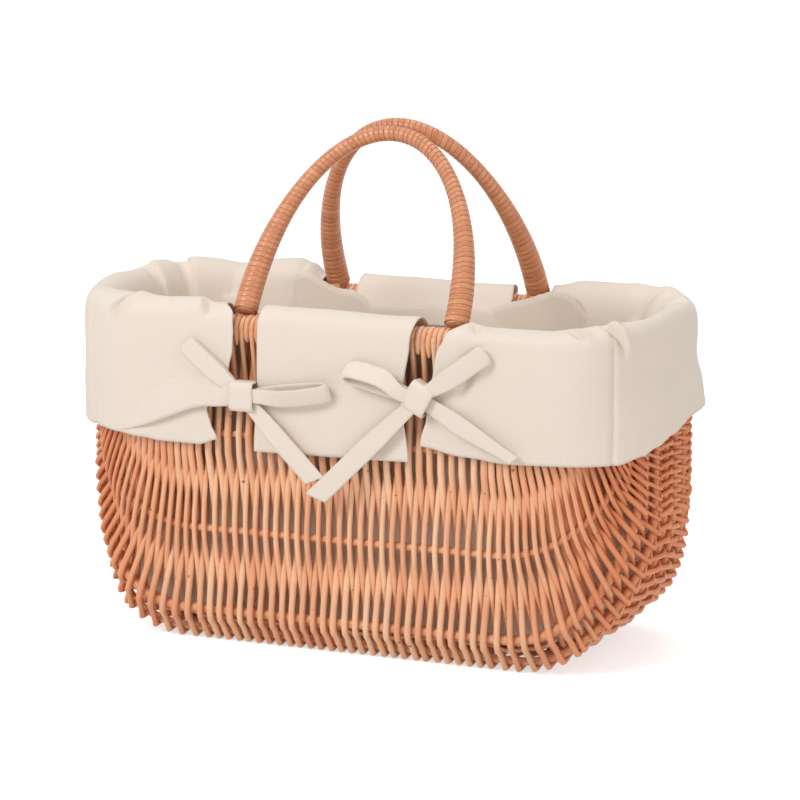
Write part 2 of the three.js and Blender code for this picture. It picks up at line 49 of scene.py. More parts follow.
# %% [markdown]
# ## Small tools for materials
# A material is a tree of nodes. One helper adds a node, sets its plain values and joins the
# sockets that are handed to it, and a second one does the same for sums, which are Math nodes.
# The trees could be joined by hand in the shader editor. As code, each finish reads like a short
# recipe, and two finishes can share one.

# %% Node helpers
def feed(tree, socket, value):
    """Joins a socket to the output of another node, or sets its plain value."""
    if isinstance(value, bpy.types.NodeSocket):
        tree.links.new(value, socket)
    else:
        socket.default_value = value


def shade(tree, kind, settings=None, **inputs):
    """Adds a node; its inputs are named as in the editor, with _ for a space."""
    node = tree.nodes.new("ShaderNode" + kind)
    for name, value in (settings or {}).items():
        setattr(node, name, value)
    for name, value in inputs.items():
        feed(tree, node.inputs[name.replace("_", " ")], value)
    return node


def maths(tree, kind, *values):
    """Adds a Math node and hands back its result."""
    node = shade(tree, "Math", {"operation": kind})
    for socket, value in zip(node.inputs, values):
        feed(tree, socket, value)
    return node.outputs[0]


def new_finish(name):
    finish = bpy.data.materials.new(name)
    finish.use_nodes = True
    tree = finish.node_tree
    return finish, tree, tree.nodes["Principled BSDF"]


print("node helpers ready")

# %% [markdown]
# ## Colours
# A material works with linear values, which are hard to read. So colours are written as a picture
# editor shows them, from 0 to 255, and are turned into linear ones here. A ramp turns a number into
# a colour, and a Mix node lays one colour over another.

# %% Colour helpers
black = (0, 0, 0, 1)
white = (1, 1, 1, 1)


def srgb(red, green, blue):
    linear = []
    for shown in (red, green, blue):
        share = shown / 255
        linear.append(((share + 0.055) / 1.055) ** 2.4 if shown > 10 else share / 12.92)
    return (*linear, 1.0)


def blend_colours(tree, factor, low, high, way="MIX"):
    """Mixes two colours; among the sockets of a Mix node these are numbers 6, 7 and 2."""
    node = shade(tree, "Mix", {"data_type": "RGBA", "blend_type": way})
    for number, value in ((0, factor), (6, low), (7, high)):
        feed(tree, node.inputs[number], value)
    return node.outputs[2]


def ramp(tree, factor, *stops):
    """Turns a number into a colour by stops, each a place from 0 to 1 and its colour."""
    node = tree.nodes.new("ShaderNodeValToRGB")
    tree.links.new(factor, node.inputs[0])
    while len(node.color_ramp.elements) < len(stops):
        node.color_ramp.elements.new(0.5)
    for element, (place, colour) in zip(node.color_ramp.elements, stops):
        element.position = place
        element.color = colour
    return node.outputs[0]


print("white as a linear colour:", srgb(255, 255, 255))

# %% [markdown]
# ## Peeled willow
# Each rod of the weave was a different shoot, so every rod takes its own tone from the random
# number that the renderer gives to each loose part of a mesh. Fine streaks run along the rod in
# the rod's own UV map, small dark flecks mark the buds, and the skin is satin. Towards the two
# ends of the basket the colour is multiplied by a tint: partly the redder tone of the end rods,
# partly painted shade for the deep gaps between the short rows there. A painted picture could show
# all this too, but it would repeat from rod to rod, and noise doesn't.

# %% Willow finish
# Redder tone of the end rods together with painted shade for the gaps between the end rows
end_red_and_shade_tint = (0.85, 0.58, 0.43, 1.0)
# In metres from the middle
tint_from = 0.105
tint_to = 0.175
streak_scale = (14.0, 5.0, 1.0)
streak_share = 0.34
cloud_share = 0.3
bud_brown = srgb(122, 70, 44)


def willow_finish(name, tones):
    finish, tree, skin = new_finish(name)
    spot = shade(tree, "NewGeometry").outputs["Random Per Island"]
    place = shade(tree, "TexCoord")
    grain_map = shade(tree, "Mapping", Vector=place.outputs["UV"], Scale=streak_scale)
    grain = shade(tree, "TexNoise", Vector=grain_map.outputs[0], Scale=1.0, Detail=4.0, Roughness=0.6)
    cloud = shade(tree, "TexNoise", Vector=place.outputs["Object"], Scale=34.0, Detail=3.0)
    tone = ramp(tree, spot, *tones)
    shaded = blend_colours(tree, streak_share, tone, ramp(
        tree, grain.outputs["Fac"], (0.3, srgb(214, 144, 102)), (0.7, srgb(255, 218, 182))))
    shaded = blend_colours(tree, cloud_share, shaded, ramp(
        tree, cloud.outputs["Fac"], (0.36, srgb(226, 154, 110)), (0.64, srgb(252, 204, 162))))
    along = shade(tree, "SeparateXYZ", Vector=place.outputs["Object"])
    from_middle = maths(tree, "ABSOLUTE", along.outputs["X"])
    to_end = shade(tree, "MapRange", Value=from_middle, From_Min=tint_from, From_Max=tint_to)
    # Towards the ends: redder tone and painted shade, multiplied into the colour
    shaded = blend_colours(tree, to_end.outputs[0], shaded, end_red_and_shade_tint, "MULTIPLY")
    fleck = shade(tree, "TexNoise", Vector=place.outputs["Object"], Scale=210.0, Detail=2.0)
    mark = ramp(tree, fleck.outputs["Fac"], (0.72, black), (0.77, white))
    shaded = blend_colours(tree, mark, shaded, bud_brown)
    tree.links.new(shaded, skin.inputs["Base Color"])
    rough = shade(tree, "MapRange", Value=grain.outputs["Fac"], To_Min=0.36, To_Max=0.58)
    tree.links.new(rough.outputs[0], skin.inputs["Roughness"])
    dent = shade(tree, "Bump", Height=grain.outputs["Fac"], Strength=0.25, Distance=0.0004)
    tree.links.new(dent.outputs[0], skin.inputs["Normal"])
    skin.inputs["Specular IOR Level"].default_value = 0.5
    return finish


woven_tones = (
    (0.0, srgb(234, 162, 116)),
    (0.35, srgb(249, 182, 136)),
    (0.7, srgb(255, 197, 153)),
    (1.0, srgb(255, 216, 180)),
)
rib_tones = ((0.0, srgb(230, 162, 114)), (1.0, srgb(244, 184, 138)))
woven_willow = willow_finish("woven_willow", woven_tones)
rib_willow = willow_finish("rib_willow", rib_tones)
print("willow finishes:", woven_willow.name, rib_willow.name)

# %% [markdown]
# ## Handle skein
# The handles are bound with a skein, a flat band split from a rod. It is glossier and redder
# than the rods, and its tone drifts along its length. Its edges are painted a little darker, as
# painted shade in the grooves between the turns. The turns could be painted on a plain rod as
# stripes, but its outline would stay smooth. So the band is modelled later, and its finish only
# needs the band's own UV map, which runs along and across it.

# %% Skein finish
skein, skein_tree, skein_skin = new_finish("handle_skein")
skein_place = shade(skein_tree, "TexCoord")
skein_map = shade(skein_tree, "Mapping", Vector=skein_place.outputs["UV"], Scale=(90.0, 3.0, 1.0))
skein_grain = shade(skein_tree, "TexNoise", Vector=skein_map.outputs[0], Scale=1.0, Detail=4.0)
skein_drift_map = shade(skein_tree, "Mapping", Vector=skein_place.outputs["UV"], Scale=(58.0, 0.0, 1.0))
skein_drift = shade(skein_tree, "TexNoise", Vector=skein_drift_map.outputs[0], Scale=1.0, Detail=1.0)
skein_colour = ramp(
    skein_tree, skein_drift.outputs["Fac"],
    (0.34, srgb(200, 125, 84)), (0.5, srgb(212, 139, 97)), (0.66, srgb(224, 154, 110)))
skein_colour = blend_colours(skein_tree, 0.3, skein_colour, ramp(
    skein_tree, skein_grain.outputs["Fac"], (0.35, srgb(184, 110, 72)), (0.65, srgb(236, 170, 126))))
skein_across = shade(skein_tree, "SeparateXYZ", Vector=skein_place.outputs["UV"])
# Painted shade: the band's edges are darkened where the grooves between the turns lie in shade
skein_edge_shade = ramp(
    skein_tree, skein_across.outputs["Y"],
    (0.0, white), (0.08, black), (0.92, black), (1.0, white))
skein_colour = blend_colours(skein_tree, skein_edge_shade, skein_colour, srgb(136, 74, 44))
skein_tree.links.new(skein_colour, skein_skin.inputs["Base Color"])
skein_rough = shade(skein_tree, "MapRange", Value=skein_grain.outputs["Fac"], To_Min=0.2, To_Max=0.38)
skein_tree.links.new(skein_rough.outputs[0], skein_skin.inputs["Roughness"])
skein_dent = shade(skein_tree, "Bump", Height=skein_grain.outputs["Fac"], Strength=0.2, Distance=0.0003)
skein_tree.links.new(skein_dent.outputs[0], skein_skin.inputs["Normal"])
print("skein finish:", skein.name)

# %% [markdown]
# ## Threads of the cotton
# The liner is plain-woven cotton. Its threads could be modelled, but that would take millions of
# faces. Two fine waves crossed in the cloth's own UV map, which is in metres, give the same look as
# a bump, and a slow noise gives the cloth soft unevenness.

# %% Cotton threads
cotton, cloth_tree, cloth_skin = new_finish("liner_cotton")
cloth_place = shade(cloth_tree, "TexCoord")
thread_pitch = 0.0007


def threads(direction):
    # At scale 1 the wave texture repeats every 2 pi / 20
    return shade(
        cloth_tree, "TexWave", {"bands_direction": direction}, Vector=cloth_place.outputs["UV"],
        Scale=2 * math.pi / (20 * thread_pitch), Distortion=0.6, Detail=1.0).outputs["Fac"]


weave_height = maths(cloth_tree, "ADD", threads("X"), threads("Y"))
crease = shade(cloth_tree, "TexNoise", Vector=cloth_place.outputs["UV"], Scale=26.0, Detail=3.0)
print("cotton threads every", 1000 * thread_pitch, "mm")

# %% [markdown]
# ## Stitched hems
# A row of stitches runs a few millimetres inside every cut edge. The stitches could be small loops
# of thread, but in the finish they cost no faces and follow every fold. Each vertex of the cloth
# carries two numbers in millimetres, its distance from the hem and its place along it, and the row
# and the single stitches are drawn from these.

# %% Cotton stitches
stitch_row = 4.4
stitch_row_half = 0.32
stitch_pitch = 2.6
stitch_half = 0.34
hem_distance = shade(cloth_tree, "Attribute", {"attribute_name": "hem"}).outputs["Fac"]
run_along = shade(cloth_tree, "Attribute", {"attribute_name": "run"}).outputs["Fac"]
on_row = maths(cloth_tree, "COMPARE", hem_distance, stitch_row, stitch_row_half)
in_pitch = maths(cloth_tree, "FRACT", maths(cloth_tree, "DIVIDE", run_along, stitch_pitch))
on_stitch = maths(cloth_tree, "COMPARE", in_pitch, 0.5, stitch_half)
stitch = maths(cloth_tree, "MULTIPLY", on_row, on_stitch)
# Painted shade: the row of stitches is darkened as if it lay in a groove
furrow_shade = maths(cloth_tree, "MULTIPLY", on_row, 0.25)
print("stitches every", stitch_pitch, "mm,", stitch_row, "mm from the hem")

# %% [markdown]
# ## Cream cotton
# The cloth is matte. A little sheen stands for its fuzz, which brightens cloth that is seen at a
# slant. The threads lighten it, a line of painted shade darkens the seam's groove, and the stitches
# lie in that groove. Threads and unevenness also go into the bump.

# %% Cotton finish
fibre = blend_colours(
    cloth_tree, crease.outputs["Fac"], srgb(226, 211, 195), srgb(236, 223, 208))
fibre = blend_colours(cloth_tree, weave_height, fibre, srgb(238, 226, 212))
# Painted shade along the seam's groove
fibre = blend_colours(cloth_tree, furrow_shade, fibre, srgb(206, 188, 168))
fibre = blend_colours(cloth_tree, stitch, fibre, srgb(238, 226, 211))
cloth_tree.links.new(fibre, cloth_skin.inputs["Base Color"])
cloth_skin.inputs["Roughness"].default_value = 0.92
cloth_skin.inputs["Specular IOR Level"].default_value = 0.2
cloth_skin.inputs["Sheen Weight"].default_value = 0.12
cloth_skin.inputs["Sheen Roughness"].default_value = 0.5
weave_bump = shade(cloth_tree, "Bump", Height=weave_height, Strength=0.25, Distance=0.00012)
soft_bump = shade(
    cloth_tree, "Bump", Height=crease.outputs["Fac"], Strength=0.35, Distance=0.0012,
    Normal=weave_bump.outputs[0])
cloth_tree.links.new(soft_bump.outputs[0], cloth_skin.inputs["Normal"])
print("cotton finish:", cotton.name)

# %% [markdown]
# ## The rim as a line
# The basket is built on lines. The first is the rim, a long oval: straight sides, round corners
# and short straight ends. It could be a curve drawn by hand. A small formula is used instead,
# because rods, cuffs and bag all ask it for a point and an outward direction at a distance along
# the rim. The same sizes as in the solids are used here, in millimetres.

# %% Rim line
rim_half_length = 190.0
rim_half_depth = 76.0
rim_corner = 56.0
hoop_z = 206.1
long_run = rim_half_length - rim_corner
corner_run = rim_corner * math.pi / 2
end_run = 2 * (rim_half_depth - rim_corner)
half_round = 2 * long_run + 2 * corner_run + end_run


def rim_place(distance):
    """Point and outward direction on the rim, from the front middle towards +X and round."""
    side = -1.0 if distance < 0 else 1.0
    d = abs(distance)
    corner_y = rim_half_depth - rim_corner
    if d <= long_run:
        centre, angle = (d, -corner_y), -90.0
    elif d <= long_run + corner_run:
        centre, angle = (long_run, -corner_y), -90.0 + math.degrees((d - long_run) / rim_corner)
    elif d <= long_run + corner_run + end_run:
        centre, angle = (long_run, -corner_y + d - long_run - corner_run), 0.0
    elif d <= half_round - long_run:
        centre = (long_run, corner_y)
        angle = math.degrees((d - long_run - corner_run - end_run) / rim_corner)
    else:
        centre, angle = (half_round - d, corner_y), 90.0
    out = Vector((math.cos(math.radians(angle)), math.sin(math.radians(angle)), 0))
    point = Vector((centre[0], centre[1], 0)) + rim_corner * out
    return Vector((side * point.x, point.y, 0)), Vector((side * out.x, out.y, 0))


def outline_x(y):
    """How far the rim reaches along X at a depth."""
    past = abs(y) - (rim_half_depth - rim_corner)
    if past <= 0:
        return rim_half_length
    return long_run + math.sqrt(rim_corner ** 2 - past ** 2)


print("rim all round:", round(2 * half_round), "mm")

# %% [markdown]
# ## Easing
# Cloth and bent rods have no sharp corners. A straight ramp would leave a kink at both its ends, so
# most values below change by a soft step, which starts and ends level. Short lists of places and
# heights are read with the same step between their entries.

# %% Easing helpers
def smooth_step(value, low, high):
    share = min(max((value - low) / (high - low), 0.0), 1.0)
    return share * share * (3 - 2 * share)


def between(table, value):
    """The value of a short table of (place, height) pairs at a place, eased between them."""
    if value <= table[0][0]:
        return table[0][1]
    for (a, low), (b, high) in zip(table, table[1:]):
        if value <= b:
            return low + (high - low) * smooth_step(value, a, b)
    return table[-1][1]


print("half way up a soft step:", smooth_step(0.5, 0, 1))

# %% [markdown]
# ## The ribs as lines
# Ribs run along the length and turn up at both ends, where they also draw together. A rib could be
# a Bezier curve with a few handles. Here it is a list of points with their distance from its
# middle, because every rod will ask each rib for the point where the two cross.

# %% Rib lines
rib_top_z = 200.8
rim_top = 214.5
rib_bend_steps = 32
# Past this share of its bend a rib also draws inwards
rib_inward_from = 0.25


class Rib:
    """A lengthwise rib; place(d) is the point at a distance from its middle along it."""

    def __init__(self, name, side, depth, z, rim, start, rise, radius):
        self.name, self.radius = name, radius
        y, rim_y = side * depth * rim_half_depth, side * rim * rim_half_depth
        start_x, reach = start * rim_half_length, outline_x(rim_y)
        corner_top = z + rise * (rib_top_z - z)
        self.points = [Vector((0, y, z)), Vector((start_x, y, z))]
        for k in range(1, rib_bend_steps + 1):
            bent = k / rib_bend_steps
            turn = bent * math.pi / 2
            inward = smooth_step(bent, rib_inward_from, 1.0)
            self.points.append(Vector((
                start_x + (reach - start_x) * math.sin(turn), y + (rim_y - y) * inward,
                z + (corner_top - z) * (1 - math.cos(turn)))))
        self.points.append(Vector((reach, rim_y, rib_top_z)))
        self.lengths = [0.0]
        for a, b in zip(self.points, self.points[1:]):
            self.lengths.append(self.lengths[-1] + (b - a).length)
        self.length = self.lengths[-1]

    def place(self, distance):
        d = min(abs(distance), self.length)
        k = max(i for i in range(len(self.lengths) - 1) if self.lengths[i] <= d)
        share = (d - self.lengths[k]) / (self.lengths[k + 1] - self.lengths[k])
        p = self.points[k].lerp(self.points[k + 1], share)
        return Vector((math.copysign(p.x, distance), p.y, p.z))


rib_table = (
    # name, depth, height, depth at the rim, start of the bend, rise of the bend, radius
    ("upper", 1.0, 0.643 * rim_top, 0.91, 0.526, 0.83, 2.5),
    ("middle", 1.0, 0.35 * rim_top, 0.72, 0.538, 0.541, 2.5),
    ("lower", 1.0, 0.1026 * rim_top, 0.57, 0.588, 0.526, 3.3),
    ("foot", 0.868, 6.6, 0.35, 0.61, 0.49, 2.6),
    ("base", 0.29, 6.6, 0.115, 0.62, 0.48, 2.6),
)
front_ribs = [Rib(f"front_{row[0]}_rib", -1, *row[1:]) for row in rib_table]
back_ribs = [Rib(f"back_{row[0]}_rib", 1, *row[1:]) for row in rib_table]
ribs = front_ribs + back_ribs[::-1]
print("rib lengths in mm:", [round(2 * rib.length) for rib in front_ribs])

# %% [markdown]
# ## Smooth lines
# A bent shoot has no corners, so the few points that a rod is led through are joined by a smooth
# line. A Bezier curve could do that with two handles at each point. A Catmull-Rom line needs none
# and still goes through every point, and it carries the radius along as a fourth number.

# %% Smooth lines
def with_radius(point, radius):
    return Vector((point.x, point.y, point.z, radius))


def smooth_line(points, steps):
    """A Catmull-Rom line through the points, each an (x, y, z, radius) vector."""
    line = []
    for k in range(len(points) - 1):
        a, b = points[max(k - 1, 0)], points[k]
        c, d = points[k + 1], points[min(k + 2, len(points) - 1)]
        for j in range(steps):
            t = j / steps
            line.append(0.5 * (2 * b + (c - a) * t + (2 * a - 5 * b + 4 * c - d) * t ** 2
                               + (3 * b - a - 3 * c + d) * t ** 3))
    line.append(points[-1].copy())
    return line


short_line = smooth_line([Vector((0, 0, 0, 1)), Vector((10, 0, 0, 1))], 4)
print("points on a smooth line in 4 steps:", len(short_line))

# %% [markdown]
# ## Rods as curves
# A rod is a line with a thickness. It could be extruded ring by ring, but a bevelled curve does
# that by itself and keeps each ring square to the line. Many rods share one curve object as
# separate splines, and each point has its own radius, so a rod can taper from butt to tip. The
# curve is then made a mesh, and its end caps are merged to its sides.

# %% Rods as a mesh
sharp_from = math.radians(50)


def rod_mesh(name, lines, sides_step, closed=False):
    """One mesh of rods; a bevel of 1 mm times a point's radius gives the radius in millimetres."""
    curve = bpy.data.curves.new(name, "CURVE")
    curve.dimensions = "3D"
    curve.bevel_depth = 0.001
    curve.bevel_resolution = sides_step
    curve.use_fill_caps = not closed
    for line in lines:
        spline = curve.splines.new("POLY")
        spline.points.add(len(line) - 1)
        spline.use_cyclic_u = closed
        for point, at in zip(spline.points, line):
            point.co = (at[0] / 1000, at[1] / 1000, at[2] / 1000, 1)
            point.radius = at[3]
    shaper = bpy.data.objects.new(name + "_curve", curve)
    scene.collection.objects.link(shaper)
    graph = bpy.context.evaluated_depsgraph_get()
    mesh = bpy.data.meshes.new_from_object(shaper.evaluated_get(graph))
    bpy.data.objects.remove(shaper)
    bm = bmesh.new()
    bm.from_mesh(mesh)
    bmesh.ops.remove_doubles(bm, verts=bm.verts, dist=1e-6)
    bmesh.ops.recalc_face_normals(bm, faces=bm.faces)
    for face in bm.faces:
        face.smooth = True
    for edge in bm.edges:
        edge.smooth = edge.calc_face_angle(0.0) < sharp_from
    bm.to_mesh(mesh)
    bm.free()
    mesh.name = name
    return mesh


print("rods turn sharp past", round(math.degrees(sharp_from)), "degrees")

# %% [markdown]
# ## The ribs and the hoop
# A piece is a mesh with one finish. It hides the solids that it stands in for and moves with its
# body. The ribs and the hoop are the first ones.
# Their solids could be shown as they are, but they have few sides, so plain round rods along the
# same lines take their place.

# %% Ribs and hoop
def add_piece(name, mesh, finish, body, nodes=()):
    piece = bpy.data.objects.new(name, mesh)
    scene.collection.objects.link(piece)
    mesh.materials.clear()
    mesh.materials.append(finish)
    if nodes:
        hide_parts(*nodes)
    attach(piece, body)
    return piece


rib_steps = 60
hoop_steps = 240
hoop_radius = 5.0
for rib in ribs:
    half = [rib.place(rib.length * k / rib_steps) for k in range(rib_steps + 1)]
    line = [Vector((-p.x, p.y, p.z)) for p in half[:0:-1]] + half
    mesh = rod_mesh(rib.name + "_rod", [[with_radius(p, rib.radius) for p in line]], 4)
    add_piece(rib.name + "_rod", mesh, rib_willow, "basket", (rib.name,))
hoop_line = []
for k in range(hoop_steps):
    spot = -half_round + 2 * half_round * k / hoop_steps
    point, _ = rim_place(spot)
    hoop_line.append(Vector((point.x, point.y, hoop_z, hoop_radius)))
add_piece("rim_hoop_rod", rod_mesh("rim_hoop_rod", [hoop_line], 4, closed=True), rib_willow,
          "basket", ("rim_hoop",))
print("ribs and hoop made:", len(ribs) + 1)

# %% [markdown]
# ## How the rods spread
# The real weaver leads each rod from the front rim, under the base and up to the back rim, now in
# front of a rib and now behind it, and the next rod the other way round. In the middle the rods
# stand side by side. Past it they spread along each rib by different amounts, which makes the fan
# at the ends, and the last short rows close the ends above the fan. One rod repeated by an Array
# modifier would look like a fence, so every rod gets its own places and its own thickness.

# %% Spread of the rods
shuffle = random.Random(7)
straight_half = 98.0
rod_pitch = 3.62
fan_reach = {"rim": 60.0, "upper": 75.0, "middle": 100.0, "lower": 140.0, "foot": 150.0, "base": 150.0}
fan_count = 32
row_count = 33
# The lower and the foot rib are crossed on the same side, as a double rib is; at the ends they part
double_turns = [1, 2, 3, 3, 4, 5, 6, 6, 7, 8]
single_turns = list(range(1, 11))
middle_count = int(2 * straight_half / rod_pitch)
print("rods:", middle_count + 1, "in the middle and", fan_count + row_count, "at each end")

# %% [markdown]
# ## Crossing a rib
# Where a rod crosses a rib, its point on the rib is moved out or in by the radius of the rib and
# its own, square to both. A fixed direction would be simpler, but the ribs turn upwards at the
# ends and the rods would sink into them there. Each rod also lies a little to the left or right of
# its place, as a shoot does.

# %% Crossing a rib
basket_middle = Vector((0, 0, 110))
# Below the foot and base ribs a rod may not be thicker, or it would reach through the floor
base_limit = 1.97
slip_most = 0.45


def rib_kind(rib):
    return rib.name.split("_")[1]


def along_rib(rib, distance):
    """The way that a rib runs at a distance, also at its very end."""
    ahead = rib.place(distance + math.copysign(2, distance)) - rib.place(distance)
    if ahead.length < 0.5:
        ahead = rib.place(distance) - rib.place(distance - math.copysign(4, distance))
    return ahead


def square_out(along, across, point):
    """The outward direction square to a rib and to a rod that crosses it."""
    out = along.cross(across).normalized()
    return out if out.dot(point - basket_middle) > 0 else -out


def rod_crossings(places, points, turns, parity, taper):
    """The points of a rod on the outer or inner side of every rib."""
    last = len(points) - 1
    crossings = []
    for k, (rib, point) in enumerate(zip(ribs, points)):
        along = along_rib(rib, places[k])
        before = (point - points[k - 1]).normalized() if k else Vector((0, 0, -1))
        after = (points[k + 1] - point).normalized() if k < last else Vector((0, 0, 1))
        if k == 0:
            after = before
        if k == last:
            before = after
        side = 1 if (parity + turns[k]) % 2 else -1
        size = min(taper[k], base_limit) if rib_kind(rib) in ("foot", "base") else taper[k]
        slip = along.normalized() * shuffle.uniform(-slip_most, slip_most)
        bends = (before + after,)
        if side > 0 and rib_kind(rib) == "foot":
            # Outside the foot rib the rod turns a sharp corner, so it is led round by three points
            bends = (before, before + after, after)
        crossing = []
        for way in bends:
            moved = point + slip + side * (rib.radius + size) * square_out(along, way, point)
            crossing.append(with_radius(moved, size))
        crossings.append(crossing)
    return crossings


print("ribs to cross:", len(ribs))

# %% [markdown]
# ## One rod over the ribs
# A rod is then a list of its crossings, with a point half way between each two. It tapers from its
# butt to its tip, and its ends are laid over the rim. The points could be joined straight, but a
# shoot springs between the ribs, so the half-way points stand a little out or in.

# %% Rod over the ribs
butt_size = 1.12
taper_loss = 0.26
# Between two ribs a rod bends a little outwards or inwards
sway = 0.5


def rod_line(places, turns, parity, radius, butt_first, over_rim):
    """Leads one rod over the ribs; places holds its distance along each rib."""
    points = [rib.place(d) for rib, d in zip(ribs, places)]
    last = len(points) - 1
    taper = []
    for k in range(len(points)):
        share = k / last if butt_first else 1 - k / last
        taper.append(radius * (butt_size - taper_loss * share))
    crossings = rod_crossings(places, points, turns, parity, taper)
    line = []
    for k, crossing in enumerate(crossings):
        line += crossing
        if k == last:
            break
        side = sway if (parity + k) % 2 else -sway
        middle = (points[k] + points[k + 1]) / 2
        out = (middle - basket_middle).normalized()
        if turns[k] == turns[k + 1]:
            middle = (crossing[-1].to_3d() + crossings[k + 1][0].to_3d()) / 2
            side = 0.0
        line.append(with_radius(middle + side * out, (taper[k] + taper[k + 1]) / 2))
    if over_rim is None:
        return line
    back_rim = half_round - abs(over_rim)
    back_turn = rim_turn(back_rim, math.copysign(1, over_rim), parity + turns[-1] + 1, taper[-1])
    return rim_turn(over_rim, 1, parity, taper[0])[::-1] + line + back_turn


print("a tip is", round(1 - taper_loss / butt_size, 2), "times as thick as its butt")

# %% [markdown]
# ## The end of a rod at the rim
# At the rim a rod is laid over the hoop, from outside to inside or the other way round, and is
# cut slanted below it. Equal blunt ends would look sawn off, so each tip gets thin, and
# neighbours end at different heights.

# %% Rod end over the rim
rim_rod_limit = 1.92
# Half way round the hoop's upper quarter
slant = 0.72
tip_drop = 8.6
tip_spread = 1.6
tip_radius = 0.4


def rim_turn(distance, sign, parity, radius):
    """The end of a rod laid over the hoop, from below the rim outside or inside to its tip."""
    point, out = rim_place(distance)
    if sign < 0:
        point.x, out.x = -point.x, -out.x
    side = 1 if parity % 2 else -1
    radius = min(radius, rim_rod_limit)
    ring = hoop_radius + radius
    shape = (
        (side * ring, -4.0),
        (side * ring, 0.5),
        (slant * side * ring, slant * ring),
        (0, ring),
        (-slant * side * ring, slant * ring),
        (-side * ring, 0.0),
        (-side * ring * 0.94, -4.5),
    )
    line = [with_radius(point + o * out + Vector((0, 0, hoop_z + up)), radius) for o, up in shape]
    drop = hoop_z - tip_drop + tip_spread * math.sin(2.2 * distance)
    tip = point - 0.84 * side * ring * out + Vector((0, 0, drop))
    return line + [with_radius(tip, tip_radius * radius)]


print("tips end", tip_drop - tip_spread, "to", tip_drop + tip_spread, "mm below the hoop's middle")

# %% [markdown]
# ## Weaving the middle
# Now the rods are laid one after the other. Those of the middle stand upright and side by side, and
# every second one starts with its tip instead of its butt, so that thick and thin ends alternate
# along the rim.

# %% Rods in the middle
# Radius of the thinnest and of the thickest rod
middle_sizes = (1.84, 2.16)
# Points on a smooth rod for each one that was led over a rib
rod_smooth = 3
middle_rods = []
for k in range(middle_count + 1):
    x = -straight_half + 2 * straight_half * k / middle_count
    size = shuffle.uniform(*middle_sizes)
    line = rod_line([x] * len(ribs), double_turns, k, size, k % 2 == 0, x)
    middle_rods.append(smooth_line(line, rod_smooth))
print("rods in the middle:", len(middle_rods))

# %% [markdown]
# ## Weaving the ends
# The rods of the fan spread more and more, and the outermost ones are slimmer. The short rows above
# them run across the ends between the ribs. They could be rods of the same size, but there is less
# room, so a weaver takes thinner ones.

# %% Rods at the ends
fan_sizes = (1.82, 2.12)
row_sizes = (1.3, 1.52)
# The outermost rod of the fan is slimmer by this share
fan_slimming = 0.12
# Past this share of the fan the double rib parts
double_until = 0.4
end_rods = {-1: [], 1: []}
for side in (-1, 1):
    for k in range(1, fan_count + 1):
        share = k / fan_count
        places = [side * (straight_half + fan_reach[rib_kind(rib)] * share) for rib in ribs]
        size = shuffle.uniform(*fan_sizes) * (1 - fan_slimming * share)
        parity = k + (middle_count if side > 0 else 0)
        turns = double_turns if share < double_until else single_turns
        over = side * (straight_half + fan_reach["rim"] * share)
        line = rod_line(places, turns, parity, size, k % 2 == 0, over)
        end_rods[side].append(smooth_line(line, rod_smooth))
    for k in range(1, row_count + 1):
        share = k / (row_count + 1)
        places = []
        for rib in ribs:
            low = straight_half + fan_reach[rib_kind(rib)]
            places.append(side * (low + (rib.length - low) * share))
        parity = fan_count + k + (middle_count if side > 0 else 0)
        size = shuffle.uniform(*row_sizes)
        line = rod_line(places, single_turns, parity, size, k % 2 == 0, None)
        end_rods[side].append(smooth_line(line, rod_smooth))
print("rods at each end:", [len(rods) for rods in end_rods.values()])

# %% [markdown]
# ## The woven pieces
# Each rod could be an object of its own, but that would be many objects for one weave. So the rods
# of one region share a mesh, and the finish still gives each loose rod its own tone. The rods of
# the middle stand in for the woven strips of the solids.

# %% Woven pieces
weave_nodes = [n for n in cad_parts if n.endswith("_weave")] + ["rim_wrapping"]
woven = {"middle_rods": middle_rods, "left_end_rods": end_rods[-1], "right_end_rods": end_rods[1]}
for name, lines in woven.items():
    piece = add_piece(name, rod_mesh(name, lines, 2), woven_willow, "basket",
                      weave_nodes if name == "middle_rods" else ())
    print(name, len(lines), "rods,", len(piece.data.polygons), "faces")

# %% [markdown]
# ## The thin rod under the lower rib
# One slender rod runs along the front and the back just under the lower rib, behind the rods in
# front, and ties the double rib together. It could be led over and under each rod. It shows only in
# the gaps, so a wavy line is enough.

# %% Thin rods
thin_radius = 1.35
thin_step = 3.6
thin_wave = 1.2
for side, name in ((-1, "front_thin_rod"), (1, "back_thin_rod")):
    rib = (front_ribs if side < 0 else back_ribs)[2]
    foot = (front_ribs if side < 0 else back_ribs)[3]
    line = []
    for k in range(-40, 41):
        d = thin_step * k
        share = 0.36 + 0.12 * math.sin(k * 0.24)
        p = rib.place(d).lerp(foot.place(d), share)
        out = Vector((0, side, -0.6)).normalized()
        line.append(with_radius(p + thin_wave * math.sin(k * 0.87) * out, thin_radius))
    add_piece(name, rod_mesh(name, [smooth_line(line, 2)], 2), woven_willow, "basket")
print("thin rods made: 2")

# %% [markdown]
# ## The handles as arches
# Each handle is a bent rod that stands on the rim and leans towards the other one, thicker at its
# feet than at the grip. Its line could be a Bezier arch. Half an ellipse in a leaning plane follows
# the real arch as well and needs only a span and a height.

# %% Handle arches
pivot_y = 71.0
pivot_z = 217.774
handle_shift = 4.0
handle_half_span = 71.5
top_y = 5.8
top_heights = {"front": 325.0, "back": 329.0}
arch_steps = 400
foot_radius = 8.1
grip_loss = 2.8
grip_from = 110


